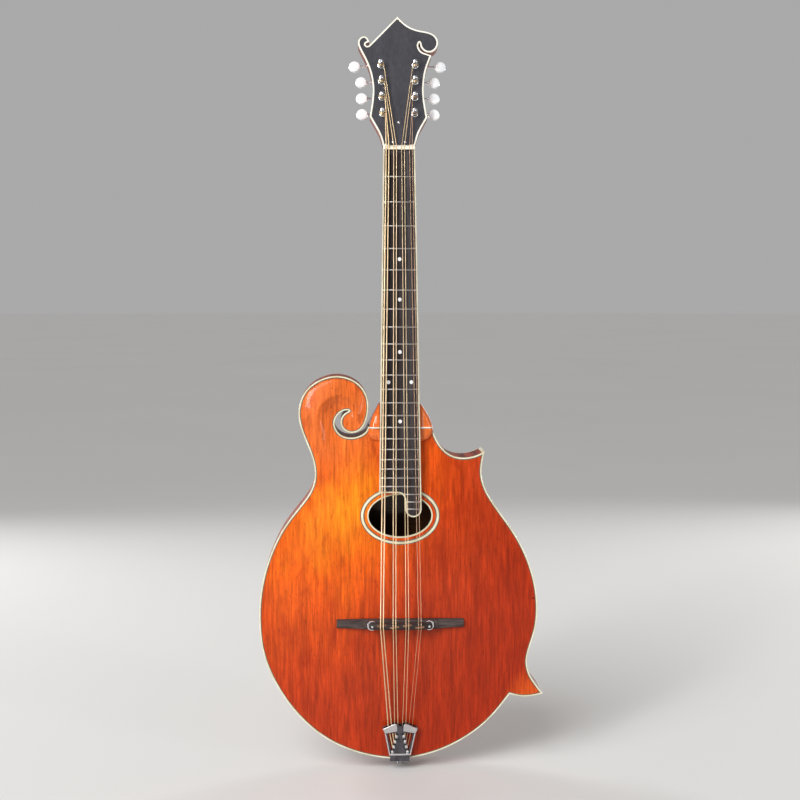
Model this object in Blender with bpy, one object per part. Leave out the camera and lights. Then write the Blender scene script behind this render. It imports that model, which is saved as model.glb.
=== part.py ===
"""An eight-string scroll-body mandocello, as the separate pieces it is made of.

The scene is in metres with +Z up. The sizes below are in millimetres and every mesh is
scaled by MM when it is made. The origin is the middle of the end pin's foot, +X is the
treble side, the soundboard faces -Y and the body's back plane stands upright.

Three local frames carry the shapes. In each, x runs across to the treble side, s runs up
towards the tip of the headstock, and n comes out of the front:
  body   s = 0 at the top edge of the soundboard, n = 0 in the middle of the ribs
  neck   s = 0 there too, n = 0 on the fingerboard's playing surface
  head   s = 0 at the nut, n = 0 on the front of the headstock
"""

import math

import bmesh
import bpy
import numpy as np
from mathutils import Matrix, Vector
from mathutils.geometry import delaunay_2d_cdt

MM = 0.001
GAP = 0.3  # clearance between two pieces that touch

# Body
JOINT_Z = 461.5  # height of the soundboard's top edge above the end pin's foot
BODY_BOTTOM = -447.5
PLATE_EDGE = 4.0
RIB_HALF = 25.0
RIM = RIB_HALF + PLATE_EDGE  # half the depth of the rim, plates included
ARCH = 14.0
PLATE_SLOPE = 0.97  # the inside of a plate rises a little less than its outside
RIB_WIDTH = 2.3
BINDING_WIDTH = 2.0
HOLE_CENTRE = -117.0
HOLE_HALF_WIDTH = 41.5
HOLE_HALF_HEIGHT = 27.5
BRACE_S = HOLE_CENTRE - HOLE_HALF_HEIGHT - 12
BRACE_HALF_LENGTH = 128.0

# Neck and head
NECK_ANGLE = math.radians(4.3)
HEAD_ANGLE = math.radians(12.0)
BOARD_ABOVE_RIM = 12.0  # the playing surface stands this far above the rim at the joint
BOARD_THICKNESS = 6.4
NUT_S = 364.3
NUT_WIDTH = 41.8
NUT_THICKNESS = 4.4
HEAD_S = 367.3
HEAD_N = -4.0
HEAD_THICKNESS = 15.0
OVERLAY = 2.0
BOARD_END_HALF_WIDTH = 28.1
BOARD_BASS_END = -86.0
BOARD_TREBLE_END = -117.9

# Bridge
BRIDGE_S = -260.0
STRING_N_AT_BRIDGE = 66.5  # underside of the strings over the saddle, in the body frame
BRIDGE_HALF_LENGTH = 84.0
BRIDGE_DEPTH = 13.5
SADDLE_HALF_LENGTH = 42.0
BRIDGE_STEP = 49.0  # the foot is highest between these, and steps down beyond them
SADDLE_DEPTH = 8.4
SADDLE_HEIGHT = 9.5
WHEEL_X = 37.5
WHEEL_RADIUS = 6.5
WHEEL_THICKNESS = 3.0
WHEEL_DROP = 2.2  # room under each wheel for it to wind down
STUD_RADIUS = 2.0

# Tuning machines
POST_S = [48.0 + 22.87 * i for i in range(4)]
POST_X = 21.3
MACHINE_LEAN = math.radians(1.29)  # each strip leans out towards the tip
POST_RADIUS = 3.0
POST_TOP = 13.5
STRING_LEVEL = [4.8, 7.8, 6.2, 6.2]  # where each post takes its string, above the head's front
GEAR_TEETH = 14
GEAR_RADIUS = 4.15
WORM_OFFSET = 7.0
WORM_RADIUS = 2.5
MACHINE_N = -20.0  # level of the gears' middle and of the worm shafts, in the head frame
SHAFT_RADIUS = 1.5
BUTTON_RADIUS = 7.7
BUTTON_REACH = [26.5, 26.5, 26.5, 34.7]  # post axis to button centre
STRIP_HALF_WIDTH = 7.9
STRIP_THICKNESS = 1.4
COVER_WALL = 0.8
HUMP_RADIUS = 3.9
BUTTON_THICKNESS = 6.4

# Strings, from the bass side: radius, and the place of each string across the instrument
STRING_RADIUS = [0.9, 0.9, 0.62, 0.62, 0.45, 0.45, 0.3, 0.3]
COURSE_AT_NUT = [-15.2, -5.4, 5.0, 15.2]
COURSE_AT_BRIDGE = [-24.9, -8.45, 8.45, 24.9]
COURSE_HALF_GAP = 1.8
STRING_AT_TAIL = [-16.0, -11.6, -7.4, -3.0, 3.0, 7.4, 11.6, 16.0]

PIN_RADIUS = 3.0

# Tailpiece frame: hinged up from the rim's bottom edge along the strings
TAIL_ANGLE = math.radians(9.6)
TAIL_FOOT = (0.0, -440.5, 33.5)

# Side path of the body from the bass end of the neck joint, (x, s), corner to corner.
THROAT = [
    (-41.5, 0), (-44.5, -6.5), (-50.5, -11), (-57, -13.6), (-64, -14.5), (-73.1, -13), (-80.3, -8.3),
    (-85.1, -0.3), (-85.4, 7.7), (-81, 16.1), (-74.2, 20.9), (-67, 21.8),
]
SCROLL = [
    (-66.6, 21.0), (-70.5, 18.9), (-75.4, 14.3), (-77.9, 6.3), (-74.3, -3.2), (-63.2, -8.2), (-51, -3.2),
    (-44, 9), (-41.2, 26), (-45, 44.5), (-57, 58.8), (-80, 66.9), (-105, 61.8), (-125, 45.3), (-133.1, 17),
    (-127.5, -9), (-117, -36), (-112, -59), (-115.5, -80.7), (-130.2, -103.6), (-152.1, -132.5),
    (-168.4, -163.5), (-181.9, -206.7), (-186.6, -255), (-180.9, -304.7), (-164.2, -345.8),
    (-138.9, -382.9), (-98.8, -418.8), (-50.2, -440.5), (0, BODY_BOTTOM), (44, -440.3), (84.6, -422.3),
    (119.9, -395.3), (148, -361.3),
]
LOWER_POINT = [(148, -361.3), (157, -363.6), (166.5, -364.9), (179, -364), (192.5, -361.2)]
WAIST = [
    (192.5, -361.2), (184.4, -350), (177, -339), (172, -326), (171, -315), (173.8, -300.6), (179.3, -282.8),
    (183.3, -265.1), (184.6, -247.4), (182.6, -220.2), (176.7, -194.5), (163.8, -161.9), (144.8, -130.7),
    (124.2, -101.6), (113, -81), (108.8, -62), (110, -46.5), (112.7, -33.5),
]
CUTAWAY = [
    (112.7, -33.5), (104.5, -37.8), (95, -40.8), (84, -41.8), (72, -39.8), (60.5, -33), (50.5, -20.5),
    (44.8, -8), (42.5, 0),
]
SCROLL_BLOCK_END = (-122, -23)
LOWER_POINT_REACH = 46.0  # how far round its tip each point's block goes
UPPER_POINT_REACH = 9.0
SIDE_PIECES = [THROAT, SCROLL, LOWER_POINT, WAIST, CUTAWAY]
HEEL = [  # s, half width at the rim, half width at the back plate
    (54, 27, 9), (36, 27.5, 10), (28, 28.5, 22), (20, 32.5, 30), (10, 37, 36), (GAP, 41, 40.5),
]
TONGUE = [  # s, half width: the lobes beside the board, then the wedge under it
    (4, 38), (-4, 38.5), (-10, 37), (-15, 33), (-17.5, 26.4), (-50, 26.6), (-84, 26.8),
]
VOLUTE = [  # in the head frame: s, half width, and the levels of its front, sides and back
    (-6, 19.5, -4, -11, -17), (8, 20, -3, -12, -18), (30, 20, -5, -13, -15.5),
]
SHOULDER_TREBLE = [(42.5, 0), (36.5, 10.5), (29.5, 21.5), (20, 31), (9.3, 35.5)]
SHOULDER_BASS = [(-9.3, 35.5), (-20, 31), (-29, 21.5), (-36, 10.5), (-41.5, 0)]
BUTTON_CENTRE = 41.0
BUTTON_HALF = 9.3

# Headstock outline, (x, s), corner to corner and clockwise from the nut's bass end.
HEAD_PIECES = [
    [(-20.9, 2.6), (-22, 8), (-24, 15.5), (-27, 23), (-31.4, 31.5), (-38, 44)],
    [
        (-38, 44), (-36.5, 54), (-34.6, 68), (-33.8, 80), (-35, 97), (-38.8, 113), (-44.8, 128),
        (-50.3, 139.5), (-52.9, 149), (-51, 154.6), (-45.6, 158), (-40.8, 156), (-38, 150),
    ],
    [(-38, 150), (-41, 149), (-43, 146.8), (-41.3, 144.2), (-38.2, 145)],
    [(-38.2, 145), (0, 186.8)],
    [
        (0, 186.8), (5, 181.2), (12, 174.7), (21, 169.6), (31, 166.7), (41, 164.6), (49, 160.5),
        (53.6, 153), (53.2, 145), (48.4, 138), (42, 135.6), (36, 137.3), (31.4, 142.3), (29.6, 149.6),
    ],
    [(29.1, 150), (27.6, 146), (28.8, 140.2), (32.5, 136), (38, 133.7), (44.7, 131.2)],
    [(44.7, 131.2), (41.2, 122), (37, 109), (34.6, 95), (33.6, 80), (34.6, 65), (36.2, 53), (37.8, 43)],
    [(37.8, 43), (32.4, 33), (27.6, 24), (24.4, 15.5), (22.4, 8), (20.9, 2.6)],
]


def frame(origin, tilt):
    """Matrix of a local (x, s, n) frame, in millimetres, leaning back by tilt."""
    across = Vector((1, 0, 0))
    up = Vector((0, math.sin(tilt), math.cos(tilt)))
    out = Vector((0, -math.cos(tilt), math.sin(tilt)))
    axes = Matrix((across, up, out)).transposed().to_4x4()
    return Matrix.Translation(origin) @ axes


BODY = frame((0, 0, JOINT_Z), 0)
NECK = BODY @ Matrix.Translation((0, 0, RIM + BOARD_ABOVE_RIM)) @ Matrix.Rotation(-NECK_ANGLE, 4, "X")
HEAD = NECK @ Matrix.Translation((0, HEAD_S, HEAD_N)) @ Matrix.Rotation(-HEAD_ANGLE, 4, "X")
TAIL = BODY @ Matrix.Translation(TAIL_FOOT) @ Matrix.Rotation(TAIL_ANGLE, 4, "X")


# ---------------------------------------------------------------- curves and outlines


def spline(anchors, spans=16):
    """Closely spaced points of the smooth curve through the anchors."""
    knots = np.array(anchors, float)
    if len(knots) == 2:
        return knots
    steps = np.linalg.norm(np.diff(knots, axis=0), axis=1) ** 0.8
    count = len(knots)
    system = np.eye(count)
    right = np.zeros((count, 2))
    for i in range(1, count - 1):
        before, after = steps[i - 1], steps[i]
        system[i, i - 1 : i + 2] = before, 2 * (before + after), after
        slopes = (knots[i + 1] - knots[i]) / after - (knots[i] - knots[i - 1]) / before
        right[i] = 6 * slopes
    bend = np.linalg.solve(system, right)
    points = []
    for i, step in enumerate(steps):
        for t in np.arange(spans) / spans:
            a, b = 1 - t, t
            curve = (a**3 - a) * bend[i] + (b**3 - b) * bend[i + 1]
            points.append(a * knots[i] + b * knots[i + 1] + curve * step**2 / 6)
    return np.array(points + [knots[-1]])


def thinned(points, sag):
    """The fewest of these points whose chords stay within sag of the others."""
    start, end = points[0], points[-1]
    chord = end - start
    length = max(np.hypot(*chord), 1e-9)
    away = abs(chord[0] * (points[:, 1] - start[1]) - chord[1] * (points[:, 0] - start[0])) / length
    far = int(away.argmax())
    if away[far] < sag:
        return np.array([start, end])
    return np.vstack([thinned(points[: far + 1], sag)[:-1], thinned(points[far:], sag)])


def path(pieces, sag=0.35):
    """One open line through several pieces that meet at corners."""
    lines = [thinned(spline(piece), sag) for piece in pieces]
    return np.vstack([line[:-1] for line in lines] + [lines[-1][-1:]])


def arc(centre, radii, start, end, steps):
    """Points on a round or oval arc, angles in degrees, both ends included."""
    turn = np.radians(np.linspace(start, end, steps + 1))
    return np.array(centre) + np.column_stack([radii[0] * np.cos(turn), radii[1] * np.sin(turn)])


def ring(centre, radii, steps):
    return arc(centre, radii, 0, 360, steps)[:-1]


def area(loop):
    x, y = loop[:, 0], loop[:, 1]
    return 0.5 * float(np.sum(x * np.roll(y, -1) - y * np.roll(x, -1)))


def wound(loop, anticlockwise):
    return loop if (area(loop) > 0) == anticlockwise else loop[::-1]


def distance_to(points, loop, closed=True):
    """How far each point is from a line."""
    starts = loop if closed else loop[:-1]
    ends = np.roll(loop, -1, axis=0) if closed else loop[1:]
    along = ends - starts
    reach = points[:, None] - starts[None]
    share = (reach * along).sum(2) / np.maximum((along**2).sum(1), 1e-12)
    nearest = starts + share.clip(0, 1)[..., None] * along
    return np.linalg.norm(points[:, None] - nearest, axis=2).min(1)


def inside(points, loop):
    """Whether each point is within a loop."""
    x, y = points[:, 0, None], points[:, 1, None]
    start, end = loop, np.roll(loop, -1, axis=0)
    spans = (start[:, 1] > y) != (end[:, 1] > y)
    rise = np.where(end[:, 1] == start[:, 1], 1e-12, end[:, 1] - start[:, 1])
    crosses = x < (end[:, 0] - start[:, 0]) * (y - start[:, 1]) / rise + start[:, 0]
    return (spans & crosses).sum(1) % 2 == 1


def beside(line, width, closed=True):
    """The line moved to its left by width. Stretches that fold over themselves are dropped."""
    ahead = np.roll(line, -1, axis=0) - line
    ahead /= np.maximum(np.hypot(*ahead.T), 1e-9)[:, None]
    behind = np.roll(ahead, 1, axis=0)
    if not closed:
        ahead[-1], behind[0] = behind[-1], ahead[0]
    moved = []
    for point, a, b in zip(line, behind, ahead):
        left_a, left_b = np.array((-a[1], a[0])), np.array((-b[1], b[0]))
        turn = math.atan2(a[0] * b[1] - a[1] * b[0], float(a @ b))
        if turn < -0.9:
            for share in np.linspace(0, 1, 5):
                c, s = math.cos(turn * share), math.sin(turn * share)
                swung = (c * left_a[0] - s * left_a[1], s * left_a[0] + c * left_a[1])
                moved.append(point + width * np.array(swung))
        else:
            moved.append(point + width * (left_a + left_b) / (1 + float(left_a @ left_b)))
    moved = np.array(moved)
    kept = distance_to(moved, line, closed) > 0.94 * abs(width)
    return moved[kept]


def strip(line, near, far):
    """A closed outline: the band between two distances to the left of an open line."""
    return np.vstack([beside(line, near, False), beside(line, far, False)[::-1]])


def stretch(line, start, stop):
    """The part of an open line between two lengths along it. A negative stop counts from its end."""
    lengths = np.concatenate([[0], np.cumsum(np.hypot(*np.diff(line, axis=0).T))])
    stop = stop if stop > 0 else lengths[-1] + stop
    between = lengths[(lengths > start) & (lengths < stop)]
    marks = np.concatenate([[start], between, [stop]])
    return np.column_stack([np.interp(marks, lengths, line[:, i]) for i in (0, 1)])


def nearest(line, point):
    return int(np.argmin(np.hypot(*(line - point).T)))


# ---------------------------------------------------------------- solids


def material(name, colour, roughness, metallic=0.0):
    made = bpy.data.materials.new(name)
    made.use_nodes = True
    shader = made.node_tree.nodes["Principled BSDF"]
    shader.inputs["Base Color"].default_value = (*colour, 1)
    shader.inputs["Roughness"].default_value = roughness
    shader.inputs["Metallic"].default_value = metallic
    return made


def mesh_object(name, points, faces, finish, place=None, smooth=False):
    """An object from points in millimetres. The place is its matrix, in millimetres too."""
    mesh = bpy.data.meshes.new(name)
    mesh.from_pydata([tuple(float(c) * MM for c in p) for p in points], [], faces)
    mesh.materials.append(finish)
    shape = bmesh.new()
    shape.from_mesh(mesh)
    bmesh.ops.remove_doubles(shape, verts=shape.verts, dist=1e-6)
    bmesh.ops.recalc_face_normals(shape, faces=shape.faces)
    shape.to_mesh(mesh)
    shape.free()
    if smooth:
        mesh.shade_smooth()
        mesh.set_sharp_from_angle(angle=math.radians(40))
    return place_object(name, mesh, place)


def place_object(name, mesh, place=None):
    made = bpy.data.objects.new(name, mesh)
    bpy.context.scene.collection.objects.link(made)
    if place is not None:
        at = place.copy()
        at.translation *= MM
        made.matrix_world = at
    return made


def level(height):
    return lambda x, s: np.full(len(x), float(height))


def slab(name, loops, low, high, finish, place, inner=None):
    """A plate in a local frame: its outline and any holes, between two heights or surfaces."""
    low = low if callable(low) else level(low)
    high = high if callable(high) else level(high)
    loops = [wound(np.asarray(loop, float), i == 0) for i, loop in enumerate(loops)]
    flat = np.vstack(loops + ([inner] if inner is not None else []))
    edges, first = [], 0
    for loop in loops:
        count = len(loop)
        edges += [(first + i, first + (i + 1) % count) for i in range(count)]
        first += count
    result = delaunay_2d_cdt([Vector(p) for p in flat.tolist()], edges, [], 0, 1e-5)
    corners = np.array([tuple(v) for v in result[0]])
    triangles = np.array(result[2])
    middles = corners[triangles].mean(1)
    keep = inside(middles, loops[0])
    for hole in loops[1:]:
        keep &= ~inside(middles, hole)
    triangles = triangles[keep]
    x, s = corners.T
    count = len(corners)
    points = np.vstack([np.column_stack([x, s, high(x, s)]), np.column_stack([x, s, low(x, s)])])
    faces = triangles.tolist() + (triangles[:, ::-1] + count).tolist()
    sides = {}
    for a, b, c in triangles:
        for edge in ((a, b), (b, c), (c, a)):
            sides[edge] = True
    faces += [(b, a, a + count, b + count) for a, b in sides if (b, a) not in sides]
    return mesh_object(name, points, faces, finish, place)


def lathe(name, profile, sides, finish, place, smooth=True):
    """A turned piece about the local s axis. The profile is (radius, s) and is closed by flat ends."""
    points, faces = [], []
    for radius, s in profile:
        for i in range(sides):
            turn = 2 * math.pi * i / sides
            points.append((radius * math.cos(turn), s, radius * math.sin(turn)))
    for k in range(len(profile) - 1):
        for i in range(sides):
            j = (i + 1) % sides
            faces.append((k * sides + i, k * sides + j, (k + 1) * sides + j, (k + 1) * sides + i))
    faces.append(list(range(sides)))
    faces.append(list(range((len(profile) - 1) * sides, len(profile) * sides)))
    return mesh_object(name, points, faces, finish, place, smooth)


def loft(name, sections, finish, place, smooth=True):
    """A solid through sections that all have the same number of points."""
    count = len(sections[0])
    points = [p for section in sections for p in section]
    faces = [list(range(count)), list(range((len(sections) - 1) * count, len(sections) * count))]
    for k in range(len(sections) - 1):
        for i in range(count):
            j = (i + 1) % count
            faces.append((k * count + i, k * count + j, (k + 1) * count + j, (k + 1) * count + i))
    return mesh_object(name, points, faces, finish, place, smooth)


def combine(target, others, operation):
    """Unions or cuts meshes for good, and removes the ones used up."""
    for other in others:
        change = target.modifiers.new(operation.lower(), "BOOLEAN")
        change.operation = operation
        change.object = other
    graph = bpy.context.evaluated_depsgraph_get()
    result = bpy.data.meshes.new_from_object(target.evaluated_get(graph))
    target.modifiers.clear()
    target.data = result
    for other in others:
        bpy.data.objects.remove(other, do_unlink=True)
    return target


def mesh_of(made):
    """The mesh of an object that was only a step towards it."""
    mesh = made.data
    bpy.data.objects.remove(made, do_unlink=True)
    return mesh


def turned_frame(origin, axis_angle, place):
    """A local frame whose s axis is turned in the x-s plane by axis_angle."""
    return place @ Matrix.Translation(origin) @ Matrix.Rotation(axis_angle, 4, "Z")


def out_of(place, x, s, n):
    """A frame whose s axis points out of the front of another frame."""
    return place @ Matrix.Translation((x, s, n)) @ Matrix.Rotation(math.pi / 2, 4, "X")


# ---------------------------------------------------------------- arching


def arching(outline, height, step=4.0):
    """Height of a carved plate: a stretched skin over the outline, with a hollow near the edge."""
    low = outline.min(0) - 2 * step
    counts = np.ceil((outline.max(0) + 2 * step - low) / step).astype(int) + 1
    xs, ss = low[0] + step * np.arange(counts[0]), low[1] + step * np.arange(counts[1])
    grid = np.stack(np.meshgrid(xs, ss, indexing="ij"), axis=-1)
    within = inside(grid.reshape(-1, 2), outline).reshape(counts)
    skin = np.zeros(counts)
    for _ in range(2600):
        spread = np.zeros(counts)
        spread[1:-1, 1:-1] = (skin[:-2, 1:-1] + skin[2:, 1:-1] + skin[1:-1, :-2] + skin[1:-1, 2:]) / 4
        skin = np.where(within, spread + 1.0, 0.0)
    skin /= skin.max()

    def rise(x, s):
        u, v = (np.asarray(x) - low[0]) / step, (np.asarray(s) - low[1]) / step
        i = np.clip(u.astype(int), 0, counts[0] - 2)
        j = np.clip(v.astype(int), 0, counts[1] - 2)
        a, b = u - i, v - j
        value = skin[i, j] * (1 - a) * (1 - b) + skin[i + 1, j] * a * (1 - b)
        value += skin[i, j + 1] * (1 - a) * b + skin[i + 1, j + 1] * a * b
        return height * value**2 * (3 - 2 * value)

    return rise


def plate_points(outline, spacing, margin, hole=None):
    """A staggered grid of points well inside an outline, for a curved plate."""
    low, high = outline.min(0), outline.max(0)
    rows = []
    for k, s in enumerate(np.arange(low[1], high[1], spacing * 0.866)):
        across = np.arange(low[0] + (k % 2) * spacing / 2, high[0], spacing)
        rows.append(np.column_stack([across, np.full(len(across), s)]))
    grid = np.vstack(rows)
    keep = inside(grid, outline) & (distance_to(grid, outline) > margin)
    if hole is not None:
        keep &= ~inside(grid, hole) & (distance_to(grid, hole) > margin)
    return grid[keep]


# ---------------------------------------------------------------- the body


def body_pieces(woods, cream):
    spruce, maple = woods
    side = path(SIDE_PIECES)
    front = wound(side, True)
    button = arc((0, BUTTON_CENTRE), (BUTTON_HALF, BUTTON_HALF), 0, 180, 8)
    shoulders = np.vstack([path([SHOULDER_TREBLE])[1:], button, path([SHOULDER_BASS])[:-1]])
    back = wound(np.vstack([side, shoulders]), True)
    top_rise = arching(front, ARCH)
    back_rise = arching(back, ARCH)

    hole = ring((0, HOLE_CENTRE), (HOLE_HALF_WIDTH, HOLE_HALF_HEIGHT), 28)
    plate_edge = beside(front, BINDING_WIDTH + GAP)
    slab(
        "soundboard", [plate_edge, hole],
        lambda x, s: RIB_HALF + PLATE_SLOPE * top_rise(x, s), lambda x, s: RIM + top_rise(x, s),
        spruce, BODY, plate_points(plate_edge, 31, 14, hole),
    )
    plate_edge = beside(back, BINDING_WIDTH + GAP)
    slab(
        "back_plate", [plate_edge],
        lambda x, s: -RIM - back_rise(x, s), lambda x, s: -RIB_HALF - PLATE_SLOPE * back_rise(x, s),
        maple, BODY, plate_points(plate_edge, 31, 14),
    )
    slab("top_binding", [front, beside(front, BINDING_WIDTH)], RIB_HALF, RIM, cream, BODY)
    slab("back_binding", [back, beside(back, BINDING_WIDTH)], -RIM, -RIB_HALF, cream, BODY)
    ribs(maple)
    blocks(woods, top_rise)
    return top_rise


def ribs(maple):
    """The bent sides. All run with the body on their left."""
    height = RIB_HALF - GAP
    near, far = GAP, GAP + RIB_WIDTH
    scroll = path([SCROLL])
    bass = stretch(scroll[nearest(scroll, SCROLL_BLOCK_END) :], GAP, -2.5)
    rib = slab("rib_bass", [strip(bass, near, far)], -height, height, maple, BODY)
    combine(rib, [pin_bore(maple)], "DIFFERENCE")
    waist = stretch(path([WAIST]), LOWER_POINT_REACH, -UPPER_POINT_REACH)
    slab("rib_waist", [strip(waist, near, far)], -height, height, maple, BODY)
    cutaway = stretch(path([CUTAWAY]), UPPER_POINT_REACH, -GAP)
    slab("rib_cutaway", [strip(cutaway, near, far)], -height, height, maple, BODY)


def pin_bore(finish):
    return lathe("pin_bore", [(PIN_RADIUS + GAP, -460), (PIN_RADIUS + GAP, -419)], 12, finish, BODY)


def blocks(woods, top_rise):
    """The solid wood inside the rim, where pieces meet."""
    spruce, maple = woods
    height = RIB_HALF - GAP
    scroll = path([THROAT, SCROLL])
    edge = stretch(scroll[: nearest(scroll, SCROLL_BLOCK_END) + 1], GAP, -GAP)
    inner = [(-112, -30), (-98, -29), (-84, -33), (-64, -37), (-46, -33), (-38.4, -22), (-38.4, -0.8)]
    slab("scroll_block", [np.vstack([beside(edge, GAP, False), inner])], -height, height, maple, BODY)
    behind_rib = GAP + RIB_WIDTH + GAP
    throat = beside(path([CUTAWAY]), behind_rib, False)
    throat = throat[throat[:, 0] < 62]
    neck_block = np.vstack([[(-38, -GAP), (-38, -40), (-34, -44), (34, -44)], throat])
    slab("neck_block", [neck_block], -height, height, maple, BODY)

    foot = path([SCROLL])
    foot = foot[(abs(foot[:, 0]) < 42) & (foot[:, 1] < -400)]
    tail = np.vstack([beside(foot, behind_rib, False), [(34, -414), (-34, -414)]])
    tail = slab("tail_block", [tail], -height, height, maple, BODY)
    combine(tail, [pin_bore(maple)], "DIFFERENCE")

    waist = path([WAIST])
    tip = np.vstack([path([LOWER_POINT])[1:-1], stretch(waist, 0, LOWER_POINT_REACH - GAP)])
    outline = np.vstack([beside(tip, GAP, False), [(166, -332), (158, -345), (152, -356)]])
    slab("point_block_lower", [outline], -height, height, maple, BODY)
    length = float(np.hypot(*np.diff(waist, axis=0).T).sum())
    tip = stretch(waist, length - UPPER_POINT_REACH + GAP, length)[:-1]
    tip = np.vstack([tip, stretch(path([CUTAWAY]), 0, UPPER_POINT_REACH - GAP)])
    slab("point_block_upper", [strip(tip, GAP, GAP + RIB_WIDTH)], -height, height, maple, BODY)

    sections = []
    for x in np.linspace(-BRACE_HALF_LENGTH, BRACE_HALF_LENGTH, 9):
        top = RIB_HALF + PLATE_SLOPE * float(top_rise(x, BRACE_S)) - GAP - 0.5
        low = top - 3.5 - 9 * (1 - (x / (BRACE_HALF_LENGTH + 4)) ** 2)
        upper, lower = (BRACE_S - 4, BRACE_S + 4), (BRACE_S + 3, BRACE_S - 3)
        sections.append([(x, s, top) for s in upper] + [(x, s, low) for s in lower])
    loft("transverse_brace", sections, spruce, BODY, smooth=False)


# ---------------------------------------------------------------- neck, head and fingerboard


def head_outline(sag=0.2):
    return path(HEAD_PIECES, sag)


def d_section(half_width, s, front, depth, fullness):
    """A neck section: flat at the front, round at the back."""
    section = [(-half_width, s, front), (half_width, s, front)]
    for turn in np.radians(np.linspace(0, 180, 9)):
        x = half_width * math.copysign(abs(math.cos(turn)) ** fullness, math.cos(turn))
        section.append((x, s, front - 2 - (depth - 2) * math.sin(turn) ** fullness))
    return section


def under_board(s):
    """Height, in the body frame, just clear of the fingerboard's underside."""
    return RIM + BOARD_ABOVE_RIM - BOARD_THICKNESS - 2 * GAP - s * math.tan(NECK_ANGLE)


def neck_piece(maple, top_rise):
    """Neck, heel, headstock and the raised tongue under the fingerboard, cut from one piece."""
    under = -BOARD_THICKNESS - GAP
    shaft = [
        d_section(19.5, 366, under, 13, 0.9), d_section(21.2, 350, under, 14.5, 0.9),
        d_section(24, 220, under, 16, 0.9), d_section(26.4, 95, under, 17.5, 0.9),
        d_section(26.6, 80, under, 21, 0.9), d_section(26.6, 69, under, 30, 0.85),
        d_section(26.8, 59, under, 42, 0.95), d_section(27, 50, under, 53, 1.1),
    ]
    neck = loft("neck", shaft, maple, NECK)

    heel = []
    back = -RIB_HALF + GAP
    for s, front_half, back_half in HEEL:
        face = under_board(s)
        heel.append([
            (-27, s, face), (27, s, face), (front_half, s, RIM), (front_half, s, 8), (back_half, s, back),
            (-back_half, s, back), (-front_half, s, 8), (-front_half, s, RIM),
        ])
    heel = loft("heel", heel, maple, BODY)

    tongue = []
    for s, half in TONGUE:
        top = under_board(s)
        bottom = RIM + 4 * GAP + float(top_rise(0.0, min(s, -1)))
        shoulder = bottom + 0.6 if half > 30 else top
        right = [(half, s, bottom), (half, s, shoulder), (26, s, top)]
        tongue.append(right + [(-x, s, n) for x, s, n in right[::-1]])
    tongue = loft("tongue", tongue, maple, BODY)

    outline = head_outline()
    head = slab("head", [outline], -HEAD_THICKNESS, -OVERLAY - GAP, maple, HEAD)
    swell = []
    for s, half, top, middle, low in VOLUTE:
        section = [(-half, top), (half, top), (half, middle), (9, low), (-9, low), (-half, middle)]
        swell.append([(x, s, n) for x, n in section])
    volute = loft("volute", swell, maple, HEAD)
    combine(neck, [heel, tongue, head, volute], "UNION")
    bore = [(POST_RADIUS + GAP, -60), (POST_RADIUS + GAP, 30)]
    bores = [lathe("bore", bore, 10, maple, post_axis(i, side)) for side in (-1, 1) for i in range(4)]
    combine(neck, bores, "DIFFERENCE")


def machine_frame(side):
    """Frame of one strip of tuning machines: s runs along the posts, on the head's face."""
    return turned_frame((side * POST_X, POST_S[0], 0), -side * MACHINE_LEAN, HEAD)


def post_axis(index, side):
    """Frame of one post, with its s axis along the post and out of the front."""
    return out_of(machine_frame(side), 0, POST_S[index] - POST_S[0], 0)


def overlay_and_cover(ebony):
    holes = []
    for side in (-1, 1):
        for i in range(4):
            centre = HEAD.inverted() @ post_axis(i, side).translation
            holes.append(ring((centre.x, centre.y), (POST_RADIUS + 0.8, POST_RADIUS + 0.8), 10))
    slab("headstock_overlay", [head_outline(), *holes], -OVERLAY, 0, ebony, HEAD)
    flare = spline([(0, 39.5), (-3.4, 38), (-5.6, 33), (-8.5, 22), (-13.6, 11), (-14.2, 4)])
    bell = np.vstack([thinned(flare, 0.3), thinned(flare, 0.3)[::-1][:-1] * (-1, 1)])
    slab("truss_rod_cover", [bell], GAP, 1.8, ebony, HEAD)


def half_board(s):
    """Half the width of the fingerboard at a place along the neck."""
    share = (NUT_S - s) / (NUT_S - BOARD_TREBLE_END)
    return NUT_WIDTH / 2 + share * (BOARD_END_HALF_WIDTH - NUT_WIDTH / 2)


def fingerboard_outline():
    """The board, with its bass side stopping short and a round-ended treble tongue."""
    tongue_left, tongue_right = 6.6, half_board(BOARD_TREBLE_END + 10)
    radius = (tongue_right - tongue_left) / 2
    end = arc((tongue_left + radius, BOARD_TREBLE_END + radius), (radius, radius), 360, 180, 10)
    sweep = spline([(6.6, -101), (5.6, -92.5), (1.8, -87.4), (-4, BOARD_BASS_END)])
    top = NUT_S - GAP
    bass_edge = [(-half_board(s), s) for s in (BOARD_BASS_END, top)]
    return np.vstack([end, thinned(sweep, 0.15), bass_edge, [(half_board(top), top)]])


def board_and_nut(ebony, bone):
    slab("fingerboard", [fingerboard_outline()], -BOARD_THICKNESS, 0, ebony, NECK)
    half, low = NUT_WIDTH / 2, NUT_S + GAP
    corners = [(-half, low), (half, low), (half, low + NUT_THICKNESS), (-half, low + NUT_THICKNESS)]
    slab("nut", [np.array(corners)], -BOARD_THICKNESS, 1.4, bone, NECK)


# ---------------------------------------------------------------- bridge, tailpiece and end pin


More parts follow.
